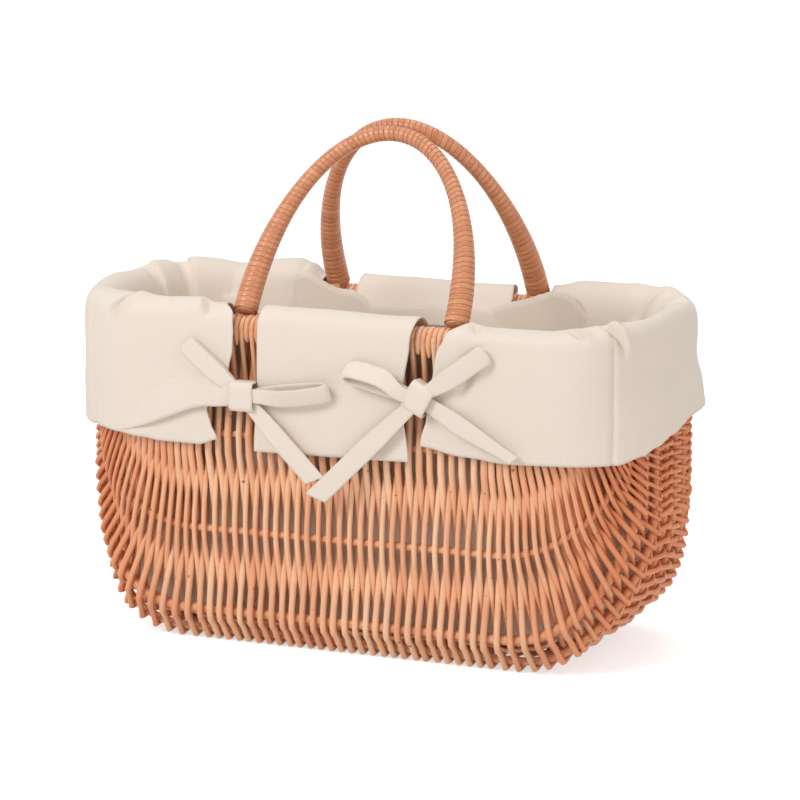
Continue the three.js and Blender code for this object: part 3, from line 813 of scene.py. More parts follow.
class Arch:
    """Half an ellipse in a leaning plane; frame(d) is the place at a distance from the left foot."""

    def __init__(self, side, top_z):
        self.foot = Vector((handle_shift, side * pivot_y, pivot_z))
        self.rise = Vector((handle_shift, side * top_y, top_z)) - self.foot
        self.level = Vector((1, 0, 0)).cross(self.rise).normalized()
        self.points = [self.at(k / arch_steps) for k in range(arch_steps + 1)]
        self.lengths = [0.0]
        for a, b in zip(self.points, self.points[1:]):
            self.lengths.append(self.lengths[-1] + (b - a).length)
        self.length = self.lengths[-1]

    def at(self, share):
        turn = math.pi * (1 - share)
        along = Vector((handle_half_span * math.cos(turn), 0, 0))
        return self.foot + self.rise * math.sin(turn) + along

    def frame(self, distance):
        d = min(max(distance, 0.0), self.length)
        low, high = 0, arch_steps
        while high - low > 1:
            mid = (low + high) // 2
            low, high = (mid, high) if self.lengths[mid] <= d else (low, mid)
        share = (d - self.lengths[low]) / (self.lengths[high] - self.lengths[low])
        tangent = (self.points[high] - self.points[low]).normalized()
        centre = self.points[low].lerp(self.points[high], share) + tangent * (distance - d)
        return centre, self.level, tangent.cross(self.level)

    def bound_radius(self, distance):
        from_foot = min(distance, self.length - distance)
        return foot_radius - grip_loss * smooth_step(from_foot, 0, grip_from)


arches = {"front": Arch(-1, top_heights["front"]), "back": Arch(1, top_heights["back"])}
print("arches in mm:", [round(arch.length) for arch in arches.values()])

# %% [markdown]
# ## A grid that is led to its place
# Skein and cloth are both flat things that are bent. A cloth simulation could fold the liner, but
# its folds would fall anywhere. So a flat grid is made first, and every vertex is then moved to
# where it lies on the bag. The grid keeps its flat UV map, and its vertices keep their distance
# from the hem and their place along it.

# %% Grid helper
no_hem = 1000.0


def mapped_grid(name, along, across, place, hem=None, size=(1.0, 1.0), weld=False):
    """A flat grid whose vertices are moved to place(s, t); its UV map is in the given size."""
    bm = bmesh.new()
    uv = bm.loops.layers.uv.new("UVMap")
    bmesh.ops.create_grid(bm, x_segments=along, y_segments=across, size=0.5, calc_uvs=True)
    hem_layer = bm.verts.layers.float.new("hem")
    run_layer = bm.verts.layers.float.new("run")
    shares = {v: (v.co.x + 0.5, v.co.y + 0.5) for v in bm.verts}
    for face in bm.faces:
        face.smooth = True
        for loop in face.loops:
            s, t = shares[loop.vert]
            loop[uv].uv = (s * size[0], t * size[1])
    for v, (s, t) in shares.items():
        v.co = place(s, t) / 1000
        v[hem_layer], v[run_layer] = hem(s, t) if hem else (no_hem, 0.0)
    if weld:
        bmesh.ops.remove_doubles(bm, verts=bm.verts, dist=1e-6)
        bmesh.ops.recalc_face_normals(bm, faces=bm.faces)
    mesh = bpy.data.meshes.new(name)
    bm.to_mesh(mesh)
    bm.free()
    return mesh


print("a grid vertex without a hem is", no_hem, "mm away from one")

# %% [markdown]
# ## Binding the handles
# The handles are wound closely from foot to foot with a flat skein. A Screw modifier winds a band
# round a straight axis only. So a grid is rolled up along the arch: its long side becomes the
# winding, its short side the width of the band, which is a little crowned and laps over the turn
# before it. Inside is the plain rod.

# %% Bind the handles
binding_pitch = 3.5
turn_sides = 20
band_sides = 5
past_foot = 2.0
# The first and the last turn are cut off level at the feet, so they aren't whole turns
turns_cut = 0.74
first_turn_cut = 0.9
band_lap = 0.06
crown_height = 0.26
lap_height = 0.2
band_sink = 0.75
core_sink = 1.5
core_steps = 80
core_past_foot = 2.5
skein_thickness = 0.0007
for place_name, arch in arches.items():
    run = arch.length + 2 * past_foot
    turns = int(run / binding_pitch)
    pitch = run / (turns - turns_cut)

    def band(s, t):
        spin = 2 * math.pi * turns * s
        edge = -past_foot + pitch * (turns * s - first_turn_cut)
        low = max(edge - band_lap * pitch, -past_foot)
        high = min(edge + (1 + band_lap) * pitch, arch.length + past_foot)
        d = low + (high - low) * t
        centre, u, v = arch.frame(d)
        crown = crown_height * (1 - (2 * t - 1) ** 6) + lap_height * t
        r = arch.bound_radius(d) - band_sink + crown
        return centre + r * (math.cos(spin) * u + math.sin(spin) * v)

    mesh = mapped_grid(f"{place_name}_handle_skein", turns * turn_sides, band_sides, band)
    piece = add_piece(f"{place_name}_handle_skein", mesh, skein,
                      f"{place_name}_handle", (f"{place_name}_handle_binding",))
    wall = piece.modifiers.new("thickness", "SOLIDIFY")
    wall.thickness = skein_thickness
    wall.offset = -1.0
    core = []
    spots = [arch.length * k / core_steps for k in range(core_steps + 1)]
    for d in [-core_past_foot, *spots, arch.length + core_past_foot]:
        centre, _, _ = arch.frame(d)
        core.append(with_radius(centre, arch.bound_radius(d) - core_sink))
    add_piece(f"{place_name}_handle_rod", rod_mesh(f"{place_name}_handle_rod", [core], 4), rib_willow,
              f"{place_name}_handle", (f"{place_name}_handle_core",))
    print(place_name, "handle:", turns, "turns over", round(arch.length), "mm")

# %% [markdown]
# ## The slyped ends
# Below the rim the handles go on as slyped ends, which are cut to a point and pushed into the wall.
# Their solids have the right shape already, so they only get the finish of the ribs.

# %% Slyped ends
slyped_ends = [node for name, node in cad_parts.items() if name.endswith("_handle_end")]
for node in slyped_ends:
    for holder in node.material_slots:
        holder.material = rib_willow
print("slyped ends:", len(slyped_ends))

# %% [markdown]
# ## The liner bag
# The liner is a bag that hangs inside the basket and fills it out. Its solid could be shown with
# the finish of cotton, but it is as smooth as a tub. So the bag is made anew with shallow upright
# pleats, with the corners filled down to the weave and with a higher edge beside the back handle.

# %% Sizes of the liner bag
bag_inset = 17.0
bag_bulge = 8.0
bag_half_floor = 113.0
bag_floor_depth = 54.0
bag_turn_z = 101.0
bag_floor = 14.2
bag_top = 204.0
# Shares of the way from the floor's middle to the rim: the floor, the turn upwards and the wall
floor_end = 0.2
turn_end = 0.6
turn_run = 0.4
wall_run = 0.4
# Where the bag stands higher it also stands in front of the cuff's end
slit_inset = 3.2
# Heights between which the bulge goes back, and shares of the way up between which pleats come and go
bulge_fade = (130, 192)
pleats_come = (0.3, 0.7)
pleats_go = (0.9, 1.0)
pleat_clearance = 0.9
# Low down the bag fills the corners of the basket: height, push outwards
bag_corner_fill = ((14, 9), (24, 14), (40, 11), (60, 5), (78, 0))
# Round the back feet of the handles the bag stands higher: distance from the middle, extra height
slit_lift = {
    1: ((46, 0), (53, 5), (60, 7.5), (68, 9.3), (76, 11.6), (84, 14.6), (92, 17.4),
        (100, 16.5), (120, 0)),
    -1: ((38, 0), (44, 5.5), (50, 9.4), (60, 10), (67, 12.5), (73, 15.5), (78, 18),
         (84, 20.5), (89, 20), (98, 0)),
}
print("bag from", bag_floor, "to", bag_top, "mm")

# %% [markdown]
# ## The bag's shape
# A grid is wrapped round the rim line and let down to the floor. The first part of its rows is the
# flat floor, the next the round turn upwards and the last the wall. A bag could also be extruded
# from its floor ring by ring, but one rule for all vertices keeps the cloth's UV map flat.

# %% Shape of the liner bag
def pleats(distance):
    wide = 0.9 * math.sin(distance / 9.0 + 1.4 * math.sin(distance / 31.0))
    return wide + 0.6 * math.sin(distance / 4.7)


def bag_place(s, t):
    """The bag's place at a share of the way round and a share of the way up from the floor."""
    distance = half_round * (2 * s - 1)
    point, out = rim_place(distance)
    wall = point - bag_inset * out
    if t < floor_end:
        share = t / floor_end
        z = bag_floor
        turn = 0.0
    else:
        share = 1.0
        turn = min((t - floor_end) / turn_run, 1.0) * math.pi / 2
        z = bag_floor + (bag_turn_z - bag_floor) * (1 - math.cos(turn))
        lift = between(slit_lift[-1 if point.x < 0 else 1], abs(point.x)) if point.y > 0 else 0.0
        z += max(t - turn_end, 0.0) / wall_run * (bag_top + lift - bag_turn_z)
        wall -= slit_inset * smooth_step(lift, 0, 13) * smooth_step(t, 0.78, 0.94) * out
    bulge = bag_bulge * (1 - smooth_step(z, *bulge_fade))
    opened = math.sin(turn) ** 0.85
    wall_x = rim_half_length - bag_inset
    wall_y = rim_half_depth - bag_inset
    half_x = bag_half_floor + (wall_x + bulge - bag_half_floor) * opened
    half_y = bag_floor_depth + (wall_y + 0.6 * bulge - bag_floor_depth) * opened
    wave = pleats(distance) * smooth_step(t, *pleats_come) * (1 - smooth_step(t, *pleats_go))
    wave -= pleat_clearance
    wave += between(bag_corner_fill, z) * (2 * abs(out.x * out.y)) ** 1.5
    x = share * wall.x * half_x / wall_x + wave * out.x * share
    y = share * wall.y * half_y / wall_y + wave * out.y * share
    return Vector((x, y, z))


print("bag at the right end:", [round(c) for c in bag_place(0.75, 1.0)])

# %% [markdown]
# ## Cloth pieces
# Every cloth piece is a grid with the thickness of cotton. The second side could be modelled too,
# but a Solidify modifier makes it and can still be changed. The area of a cloth is measured on the
# finished mesh. The bag comes first. Its side edges meet, so they are merged to a seam.

# %% Liner bag
bag_depth = 0.27
bag_columns = 330
bag_rows = 56


def add_cloth(name, mesh, nodes, thickness=0.9):
    piece = add_piece(name, mesh, cotton, "basket", nodes)
    wall = piece.modifiers.new("thickness", "SOLIDIFY")
    wall.thickness = thickness / 1000
    wall.offset = 0.0
    return piece


def cloth_area(mesh):
    return sum(face.area for face in mesh.polygons)


bag_mesh = mapped_grid("liner_bag_cloth", bag_columns, bag_rows, bag_place,
                       size=(2 * half_round / 1000, bag_depth), weld=True)
bag = add_cloth("liner_bag_cloth", bag_mesh, ("liner_bag",))
print("liner bag cloth:", round(cloth_area(bag.data), 3), "square metres")

# %% [markdown]
# ## Cloth folded over the rim
# The top of the liner is folded outwards over the rim, and is cut into two end cuffs and two flaps
# between the handle feet. Each is a grid: one way follows the rim, the other way follows a soft
# profile from the hem outside, up over the rim and down to the bag. It could be sculpted, but a
# profile made of a few points can be raised, lowered or moved out at each place along the rim.

# %% Profile helpers
# At this height the cloth comes over the edge of the rim, outside and inside
rim_edge_z = 203


def on_profile(controls, t):
    """The place on a smooth line through the controls, at a share of the way along them."""
    x = min(max(t, 0.0), 1.0) * (len(controls) - 1)
    k = min(int(x), len(controls) - 2)
    near = [Vector(controls[min(max(k + j, 0), len(controls) - 1)]) for j in (-1, 0, 1, 2)]
    f = x - k
    return 0.5 * (2 * near[1] + (near[2] - near[0]) * f
                  + (2 * near[0] - 5 * near[1] + 4 * near[2] - near[3]) * f ** 2
                  + (3 * near[1] - near[0] - 3 * near[2] + near[3]) * f ** 3)


def fold_profile(hem_z, crest, hem_out, shoulder):
    """Distance out from the rim and height, from the hem outside to the bag inside."""
    span = rim_edge_z - hem_z
    return (
        (hem_out, hem_z),
        (hem_out + 0.4 * (shoulder - hem_out) + 0.6, hem_z + 0.33 * span),
        (shoulder - 0.2, hem_z + 0.68 * span),
        (shoulder, rim_edge_z),
        (0.88 * shoulder, rim_edge_z + 0.62 * (crest - rim_edge_z)),
        (0.44 * shoulder, crest - 1.2),
        (-2.0, crest),
        (-9.0, crest - 3.5),
        (-14.5, crest - 11),
        (-18.0, rim_edge_z),
        (-19.4, 193),
    )


def folded_point(distance, controls, t, push=0.0):
    """The place on a folded cloth, pushed out square to its profile."""
    here = on_profile(controls, t)
    ahead, behind = on_profile(controls, t + 0.01), on_profile(controls, t - 0.01)
    run = ahead - behind
    square = Vector((run.y, -run.x)).normalized()
    place = here + push * square
    point, out = rim_place(distance)
    return point + place.x * out + Vector((0, 0, place.y))


def tuck(value, centre, width):
    """A fold line: a groove with a soft swell beside it."""
    off = (value - centre) / width
    return -math.exp(-off * off) + 0.55 * math.exp(-(off - 1.9) ** 2 / 1.6)


print("profile points:", len(fold_profile(135, 222, 12, 15)))

# %% [markdown]
# ## The two end cuffs
# The cuffs turn round the ends of the basket. Their hems rise towards the ends, and their crests and
# their edges beside the handles wander, because the cloth was tied by hand. A straight hem would be
# simpler but look like card. So where hem, crest and edges lie was read off the photograph, as
# short lists of places and heights.

# %% Edges of the cuffs
# Side 1 is the right cuff and -1 the left one, in pairs of place along the rim and height
hem_height = {
    1: ((59, 142), (87, 137.8), (115, 135.1), (147, 136.3), (174, 136.6), (189, 140.5), (199, 145),
        (212, 150.3), (228, 153.6), (242, 155.5), (280, 157), (300, 152), (325, 140), (350, 136),
        (400, 138), (425, 142)),
    -1: ((80, 135.8), (94, 131.9), (120, 131.8), (135, 133.5), (149, 135.5), (164, 137),
         (186, 138.2), (200, 145), (225, 153), (242, 155.5), (259, 153), (284, 145), (300, 138),
         (349, 133), (390, 132), (404, 135.8)),
}
crest_height = {
    1: ((84, 217.8), (98, 215.8), (138, 215.8), (154, 217.6), (169, 219.8), (184, 221.2),
        (242, 222.0), (290, 221.5), (319, 225), (378, 225), (398, 221)),
    -1: ((75, 221.3), (88, 220.5), (96, 223.3), (124, 222.3), (145, 223.4), (200, 223.5),
         (231, 225.5), (253, 224.3), (276, 225.6), (305, 225.0), (329, 225.4), (342, 224.5),
         (386, 229), (394, 226.5), (406, 218.5)),
}
# The edges beside the handles, in pairs of height and place along the rim
front_edge = {
    1: ((136, 58), (142, 59), (158, 63.1), (175, 65.8), (192, 68.6), (201, 70.2), (211, 75.1),
        (218, 79.4)),
    -1: ((136, 80.3), (148, 84.8), (156, 86.8), (168, 79), (182, 70.6), (195, 67.8), (206, 67.4),
         (218, 68.8)),
}
slit = {1: 86.0, -1: 78.0}
print("cuffs start", slit[1], "mm right and", slit[-1], "mm left of the middle")

# %% [markdown]
# ## Folds and laps of the cuffs
# A fold is a groove with a soft swell beside it, and it leans as it runs down. A lap is the edge of
# cloth lying on cloth, as inside at the corners. One upright seam runs down the front of each cuff.
# Noise would crumple the cloth evenly. Real folds start where it is pulled, beside the handles and
# round the corners, so each one is a row of numbers and can be moved or made deeper alone.

# %% Folds of the cuffs
corner_seam = {1: 172.6, -1: 168.0}
seam_depth = 1.5
seam_width = 1.1
seam_swell = 0.7
cuff_folds = {
    # place along the rim, lean, from and to along the profile, depth, width
    1: ((160, -50.0, 0.37, 0.6, 4.2, 1.8), (180, -30.0, 0.27, 0.62, 5.6, 2.1),
        (95, -30.0, 0.42, 0.6, 3.0, 2.4), (84, 60.0, 0.12, 0.36, 2.4, 4.0),
        (284, 0.0, 0.5, 0.9, 2.8, 4.0), (328, 8.0, 0.5, 0.95, 2.2, 6.5),
        (224, 4.0, 0.0, 0.3, 1.2, 9.0)),
    -1: ((153, -60.0, 0.33, 0.62, 6.0, -2.2), (86, 14.0, 0.36, 0.6, 3.2, 3.0),
         (108, 30.0, 0.4, 0.6, 1.4, 4.0), (345, -12.0, 0.5, 0.95, 2.0, 7.0),
         (228, -4.0, 0.0, 0.3, 1.2, 9.0)),
}
# Inside, the cloth laps over itself at the corners: place along the rim, lean, height
cuff_laps = {1: ((322, -14.0, 1.6),), -1: ((264, 12.0, 2.0), (303, 3.0, 3.0))}


def lap(past):
    """The edge of cloth lying on cloth: a hollow, a sharp step up and a long fall."""
    step = smooth_step(past, -0.8, 0.8) * (1 - smooth_step(past, 4, 36))
    return step - 0.85 * math.exp(-((past + 7) / 5.5) ** 2)


def cuff_creases(side, distance, t):
    """How far waves, seam, laps and folds push the cloth outwards."""
    push = 0.5 * math.sin(distance / 11.0) * (1 - t) + 0.4 * math.sin(distance / 23.0 + 4 * t)
    push += 0.5 * smooth_step(0.05 - t, 0.0, 0.02)
    past_seam = distance - corner_seam[side]
    seam = seam_swell * smooth_step(past_seam, -0.7, 3) * (1 - smooth_step(past_seam, 4, 40))
    seam -= seam_depth * math.exp(-(past_seam / seam_width) ** 2)
    push += seam * smooth_step(0.62 - t, 0, 0.1)
    for place, lean, height in cuff_laps[side]:
        inside = min(max((t - 0.5) / 0.4, 0.0), 1.0)
        push += height * lap(distance - place - lean * (1 - inside)) * smooth_step(inside, 0, 0.16)
    for place, lean, low, high, depth, width in cuff_folds[side]:
        fade = smooth_step(t, low, low + 0.1) * (1 - smooth_step(t, high - 0.1, high))
        if fade:
            push += depth * fade * tuck(distance, place + lean * (t - low), width)
    return push


print("folds:", len(cuff_folds[1]), "right and", len(cuff_folds[-1]), "left")

# %% [markdown]
# ## The shape of a cuff
# A cuff starts at a slit beside one handle and ends at the slit of the other. Where it starts
# depends on the height, so its profile is first guessed at and then taken at the true place. A
# plain grid that is trimmed afterwards would have a ragged edge. This one follows the edge.

# %% Shape of the cuffs
cuff_hem_out = 11.6
cuff_shoulder = 15.0
# At the ends the right hem flares, the left one doesn't, and both shoulders are slimmer
end_flare = {1: 0.9, -1: -0.6}
end_slimming = {1: 8.0, -1: 4.6}
# Beside the front handle the right cuff stands up like an ear
ear_place = 84
ear_width = 8
# Distance out of hem and shoulder for the first guess at the profile
plain_fold = (12, 15)


def cuff_start(side, z, t):
    """Where the cuff's edge lies along the rim; inside the rim it goes to the slit."""
    outside = between(front_edge[side], z)
    return outside + (slit[side] - outside) * smooth_step(t, 0.42, 0.58)


def cuff_place(side, s, t):
    guess = slit[side] + (half_round - 2 * slit[side]) * s
    profile = fold_profile(
        between(hem_height[side], guess), between(crest_height[side], guess), *plain_fold)
    start = cuff_start(side, on_profile(profile, t).y, t)
    distance = start + (half_round - 2 * start) * s
    to_end = smooth_step(min(distance, half_round - distance), 150, 205)
    ear = math.exp(-((distance - ear_place) / ear_width) ** 2) if side > 0 else 0.0
    crest = between(crest_height[side], distance) + 0.6 * ear
    hem_out = cuff_hem_out + end_flare[side] * to_end
    shoulder = cuff_shoulder - end_slimming[side] * to_end + 1.2 * ear
    profile = fold_profile(between(hem_height[side], distance), crest, hem_out, shoulder)
    return folded_point(side * distance, profile, t, cuff_creases(side, distance, t))


print("right hem in front:", [round(c) for c in cuff_place(1, 0.0, 0.0)])

# %% [markdown]
# ## Making the cuffs
# The two cuffs are made from the same rules with a different side. Their fine grid carries the
# folds. Each vertex also gets its distance from the nearest cut edge for the row of stitches.

# %% End cuffs
cuff_from_middle = 70
cuff_depth = 150.0
cuff_columns = 340
fold_rows = 64


def hem_around(s, t, run, depth):
    """Distance from the nearest cut edge, and the place along that edge."""
    side_edge = min(s, 1 - s) * run
    return (t * depth, s * run) if t * depth < side_edge else (side_edge, t * depth)


for side, name in ((1, "right_cuff"), (-1, "left_cuff")):
    run = half_round - 2 * cuff_from_middle
    mesh = mapped_grid(name + "_cloth", cuff_columns, fold_rows, lambda s, t: cuff_place(side, s, t),
                       lambda s, t: hem_around(s, t, run, cuff_depth), size=(run / 1000, 0.15))
    add_cloth(name + "_cloth", mesh, (name,))
    print(name, round(cloth_area(mesh), 4), "square metres")

# %% [markdown]
# ## The flaps between the handles
# The front and back flaps are plainer. They roll over the rim with room beneath, and the ties draw
# their edges in a little at the height of the knots. Copies of a cuff's middle would be too
# crumpled here, so the flaps only borrow its profile and get a few slow waves.

# %% Flaps
# Height, and place along the rim
left_flap_edge = ((130, -54.5), (176, -51.0), (219, -50.5))
right_flap_edge = ((132, 50.5), (165, 47.2), (180, 48.5), (205, 52.0), (219, 53.8))
flap_crest = 219
flap_hem_out = 11.4
flap_shoulder = 14.4
flap_width = 105.0
flap_depth = 150.0
flap_columns = 72


def flap_place(back, s, t):
    hem_z = 130.2 + 1.4 * s
    crest = 221.4 - 1.6 * s
    profile = fold_profile(hem_z, crest, flap_hem_out, flap_shoulder)
    z = on_profile(profile, t).y if t < 0.5 else flap_crest
    left = between(left_flap_edge, z)
    right = between(right_flap_edge, z)
    if back:
        # The back flap reaches nearer to the right handle
        right += 2.5 * smooth_step(t, 0.3, 0.5) + 4.0 * smooth_step(t, 0.5, 0.75)
    x = left + (right - left) * s
    push = 0.5 * math.sin(3.3 * s + 5 * t) + 0.35 * math.sin(9 * s - 4 * t)
    push += 0.9 * math.exp(-((s - 0.62) / 0.2) ** 2) * smooth_step(0.5 - t, 0.0, 0.3)
    push += 0.5 * smooth_step(0.05 - t, 0.0, 0.02)
    place = folded_point(x, profile, t, push)
    return Vector((place.x, -place.y, place.z)) if back else place


for back, name in ((False, "front_flap"), (True, "back_flap")):
    mesh = mapped_grid(name + "_cloth", flap_columns, fold_rows, lambda s, t: flap_place(back, s, t),
                       lambda s, t: hem_around(s, t, flap_width, flap_depth), size=(0.105, 0.15))
    flap = add_cloth(name + "_cloth", mesh, (name,))
    print(name, round(cloth_area(mesh), 4), "square metres")

# %% [markdown]
# ## The bows
# Cloth ties join the cuffs to the flaps. Each bow has a band for its knot, two loops and two tails.
# A loop is a long grid led out from the knot, round its tip and back, rolled a little so that one
# looks into it from above or below. A tail is a flat grid that lies on the cloth below it. A bow
# could be tied by a simulation, but a ribbon on a drawn line keeps its width, as cut cloth does,
# and lies where it should.

# %% Tie ribbons
tie_offset = 17.6
tie_half = 6.4
tie_crown = 0.35


def on_side(place, back):
    """The back of the bag repeats the front, so a place there is mirrored."""
    return Vector((place.x, -place.y, place.z)) if back else place


def ribbon(knot, reach, line, roll, neck, back, end_slant=0.0, tip=1.0, round_end=0.0):
    """A tie along a line of (distance, height) pairs; roll turns it about its own length.

    Its end is cut slanted by end_slant, is narrower with a tip below 1, and is rounded by round_end.
    """
    along = Vector((reach[0], 0, reach[1])).normalized()
    outward = Vector((0, -1, 0))
    wide = along.cross(outward)
    far = max(d for d, _ in line)

    def place(s, t):
        d, height = on_profile(line, s)
        open_share = smooth_step(d, line[0][0], 0.5 * far)
        half = neck + (tie_half - neck) * open_share
        half = half * (1 - (1 - tip) * smooth_step(d, 0.3 * far, far))
        angle = roll * open_share
        across = 2 * t - 1
        w = across * half
        lift = tie_crown * math.cos(math.pi * (t - 0.5)) * open_share
        drawn_in = round_end * across ** 4 * smooth_step(d, 0.7 * far, far)
        p = knot + along * (d + end_slant * w * smooth_step(d, 0.8 * far, far) - drawn_in)
        p = p + wide * (w * math.cos(angle) - (height - tie_offset) * math.sin(angle))
        raised = (height - tie_offset) * math.cos(angle) + w * math.sin(angle)
        p = p + outward * (tie_offset + raised + lift)
        return on_side(p, back)

    return place


print("ties are", 2 * tie_half, "mm wide")

# %% [markdown]
# ## Knots and drawn cloth
# The knot is a band round the middle of the bow. A box with rounded edges would look like a buckle,
# so a short tube with flattened sides is used. One tail isn't a ribbon: there the corner of the
# cuff itself is drawn to the knot, as a fold between two lines.

# %% Knots and drawn cloth
knot_offset = 16.4
knot_half_width = 7.4
knot_half_height = 9.6
knot_half_thickness = 6.4


def drawn_fold(lower, upper, side, back):
    """Cloth of a cuff drawn to a knot: a crisp lower edge, and an upper edge sunk in the cuff."""
    def place(s, t):
        low = on_profile(lower, s)
        high = on_profile(upper, s)
        at = low.lerp(high, t)
        point, out = rim_place(side * at.x)
        swell = 1.2 * math.sin(math.pi * t) * (1 - s)
        p = point + (at.z + swell) * out + Vector((0, 0, at.y))
        return on_side(p, back)

    return place


def knot_wrap(knot, tilt, back):
    """The band round the middle of a bow: a short tube with flattened sides, turned by a tilt."""
    def place(s, t):
        turn = 2 * math.pi * s
        flat = 1 + 0.12 * math.cos(4 * turn)
        across = 2 * t - 1
        w = across * (knot_half_width + 0.7 * math.sin(turn))
        up = knot_half_height * math.cos(turn) / flat
        out = knot_half_thickness * math.sin(turn) / flat
        p = knot + Vector((
            w * math.cos(tilt) - up * math.sin(tilt),
            -(knot_offset + out + 0.5 * (1 - across ** 2)),
            w * math.sin(tilt) + up * math.cos(tilt)))
        return on_side(p, back)

    return place


print("a knot is", 2 * knot_half_width, "mm wide and", 2 * knot_half_height, "mm high")

# %% [markdown]
# ## Where the bows lie
# The front bows differ a little: the left one lies level and its left tail is cloth drawn out of
# the cuff, the right one is tilted and its right tail runs to a narrow end. One bow mirrored would
# be less work and look made by a machine. So for each bow a table holds the place of the knot, the
# ways of its loops and tails as shares of a bow's size, how far the loops are rolled and puffed up,
# and the tilt of the knot.

# %% Places of the bows
bow_size = 60.0
bow_table = (
    ("left", -59.0, 166.0, ((-0.66, 0.517), (1.0, 0.14)), (None, (0.81, -0.833)),
     (0.0, -0.5), (3.0, 7.5), 0.0),
    ("right", 60.2, 173.0, ((-0.817, 0.2), (0.733, 0.517)), ((-1.167, -1.133), (1.033, -0.567)),
     (-0.75, -0.2), (11.0, 5.0), -0.5),
)
# The missing tail is drawn out of its cuff: place along the rim, height and distance out
drawn_lower = ((66, 160.0, 20.0), (75, 158.6, 19.4), (87, 157.5, 18.4), (99, 154.2, 17.0),
               (124, 144.2, 15.0), (148, 136.2, 12.8))
drawn_upper = ((66, 172.5, 20.0), (76, 174.0, 18.2), (88, 178.0, 14.6), (104, 178.0, 14.0),
               (128, 164.0, 13.2), (149, 139.0, 11.4))
# A loop goes out on its upper side and back on its lower one: share of its reach and of its puff
loop_shape = ((0.25, 0.75), (0.55, 0.9), (0.85, 0.8), (0.96, 0.62), (1.0, 0.4), (0.96, 0.18),
              (0.85, 0.05), (0.5, 0.0))
# A tail lies nearly flat: share of its reach, and height in millimetres
tail_shape = ((0.25, 0.8), (0.5, 1.4), (0.75, 0.6), (1.0, 0.2))
print("bows on each side:", [row[0] for row in bow_table])

# %% [markdown]
# ## The parts of a bow
# Loops, tails and knot bands are all sheets that lie on the cuff and the flap beneath. They could
# be one mesh, but they are separate pieces here because they are separate nodes in the part.

# %% Parts of a bow
loop_start = 5.0
loop_neck = 4.2
loop_steps = 60
loop_rounding = 2.0
# The cloth of a loop is about twice as long as the loop reaches
loop_cloth = 2.1
tail_start = 4.0
tail_neck = 4.6
tail_steps = 40
tie_rows = 8
tie_thickness = 1.0
# On the narrow ties the stitches run nearer to the edge, so distances from it count this much more
tie_hem_scale = 2.1
band_run = 50.0
band_width = 15
band_steps = 40
band_rows = 10
band_thickness = 1.2


def tie_hem(s, t, length, width):
    return tie_hem_scale * width * min(t, 1 - t), s * length


def add_tie(name, node, place, steps, length, width=2 * tie_half):
    mesh = mapped_grid(name, steps, tie_rows, place, lambda s, t: tie_hem(s, t, length, width),
                       size=(length / 1000, width / 1000))
    tie = add_cloth(name, mesh, (node,), tie_thickness)


def add_loop(name, knot, reach, roll, puff, back):
    far = bow_size * math.hypot(*reach)
    run = far - loop_start
    line = [(loop_start, tie_offset + 0.4 * puff)]
    line += [(loop_start + run * a, tie_offset + puff * h) for a, h in loop_shape]
    line += [(loop_start, tie_offset)]
    place = ribbon(knot, reach, line, roll, loop_neck, back, round_end=loop_rounding)
    add_tie(name + "_tie", name, place, loop_steps, loop_cloth * far)


def add_tail(name, knot, reach, end_slant, tip, back):
    far = bow_size * math.hypot(*reach)
    line = [(tail_start, tie_offset + 1.2)]
    line += [(far * a, tie_offset + h) for a, h in tail_shape]
    place = ribbon(knot, reach, line, 0.0, tail_neck, back, end_slant, tip)
    add_tie(name + "_tie", name, place, tail_steps, far)


def add_knot(name, knot, tilt, back):
    mesh = mapped_grid(name + "_band", band_steps, band_rows, knot_wrap(knot, tilt, back),
                       lambda s, t: tie_hem(s, t, band_run, band_width), size=(0.05, 0.015), weld=True)
    band_piece = add_cloth(name + "_band", mesh, (name,), band_thickness)


print("faces of a loop before it gets its thickness:", loop_steps * tie_rows)

# %% [markdown]
# ## Tying the bows
# Each of the four bows gets two loops, two tails and the band of its knot. The back of the bag
# repeats the front, so the same table is used twice.

# %% Bows
# The tails are cut slanted, and one of them runs to a narrow tip
left_slant = 0.5
right_slant = -0.4
full_tip = 1.0
narrow_tip = 0.55
drawn_length = 90.0
drawn_width = 26.0
for back in (False, True):
    for hand, x, z, loops, tails, rolls, puffs, tilt in bow_table:
        name = f"{'back' if back else 'front'}_{hand}_bow"
        knot = Vector((x, -rim_half_depth, z))
        add_loop(name + "_left_loop", knot, loops[0], rolls[0], puffs[0], back)
        add_loop(name + "_right_loop", knot, loops[1], rolls[1], puffs[1], back)
        if tails[0]:
            add_tail(name + "_left_tail", knot, tails[0], left_slant, full_tip, back)
        else:
            place = drawn_fold(drawn_lower, drawn_upper, -1, back)
            add_tie(name + "_left_tail_tie", name + "_left_tail", place, loop_steps,
                    drawn_length, drawn_width)
        tip = narrow_tip if hand == "right" else full_tip
        add_tail(name + "_right_tail", knot, tails[1], right_slant, tip, back)
        add_knot(name + "_knot", knot, tilt, back)
    print("bows on the", "back" if back else "front", "made")

# %% [markdown]
# ## White for the camera only
# The background should look white. Stronger lamps would do that too, but they would bleach the
# cloth. So a little white light is added to a surface for the camera and for reflections only: it
# looks white but lights nothing.

# %% White for the camera
def seen_directly(tree):
    """1 for rays from the camera, also by way of a reflection or through glass, and 0 for others."""
    path = shade(tree, "LightPath")
    total = path.outputs["Is Camera Ray"]
    for kind in ("Is Glossy Ray", "Is Transmission Ray"):
        total = maths(tree, "MAXIMUM", total, path.outputs[kind])
    return total


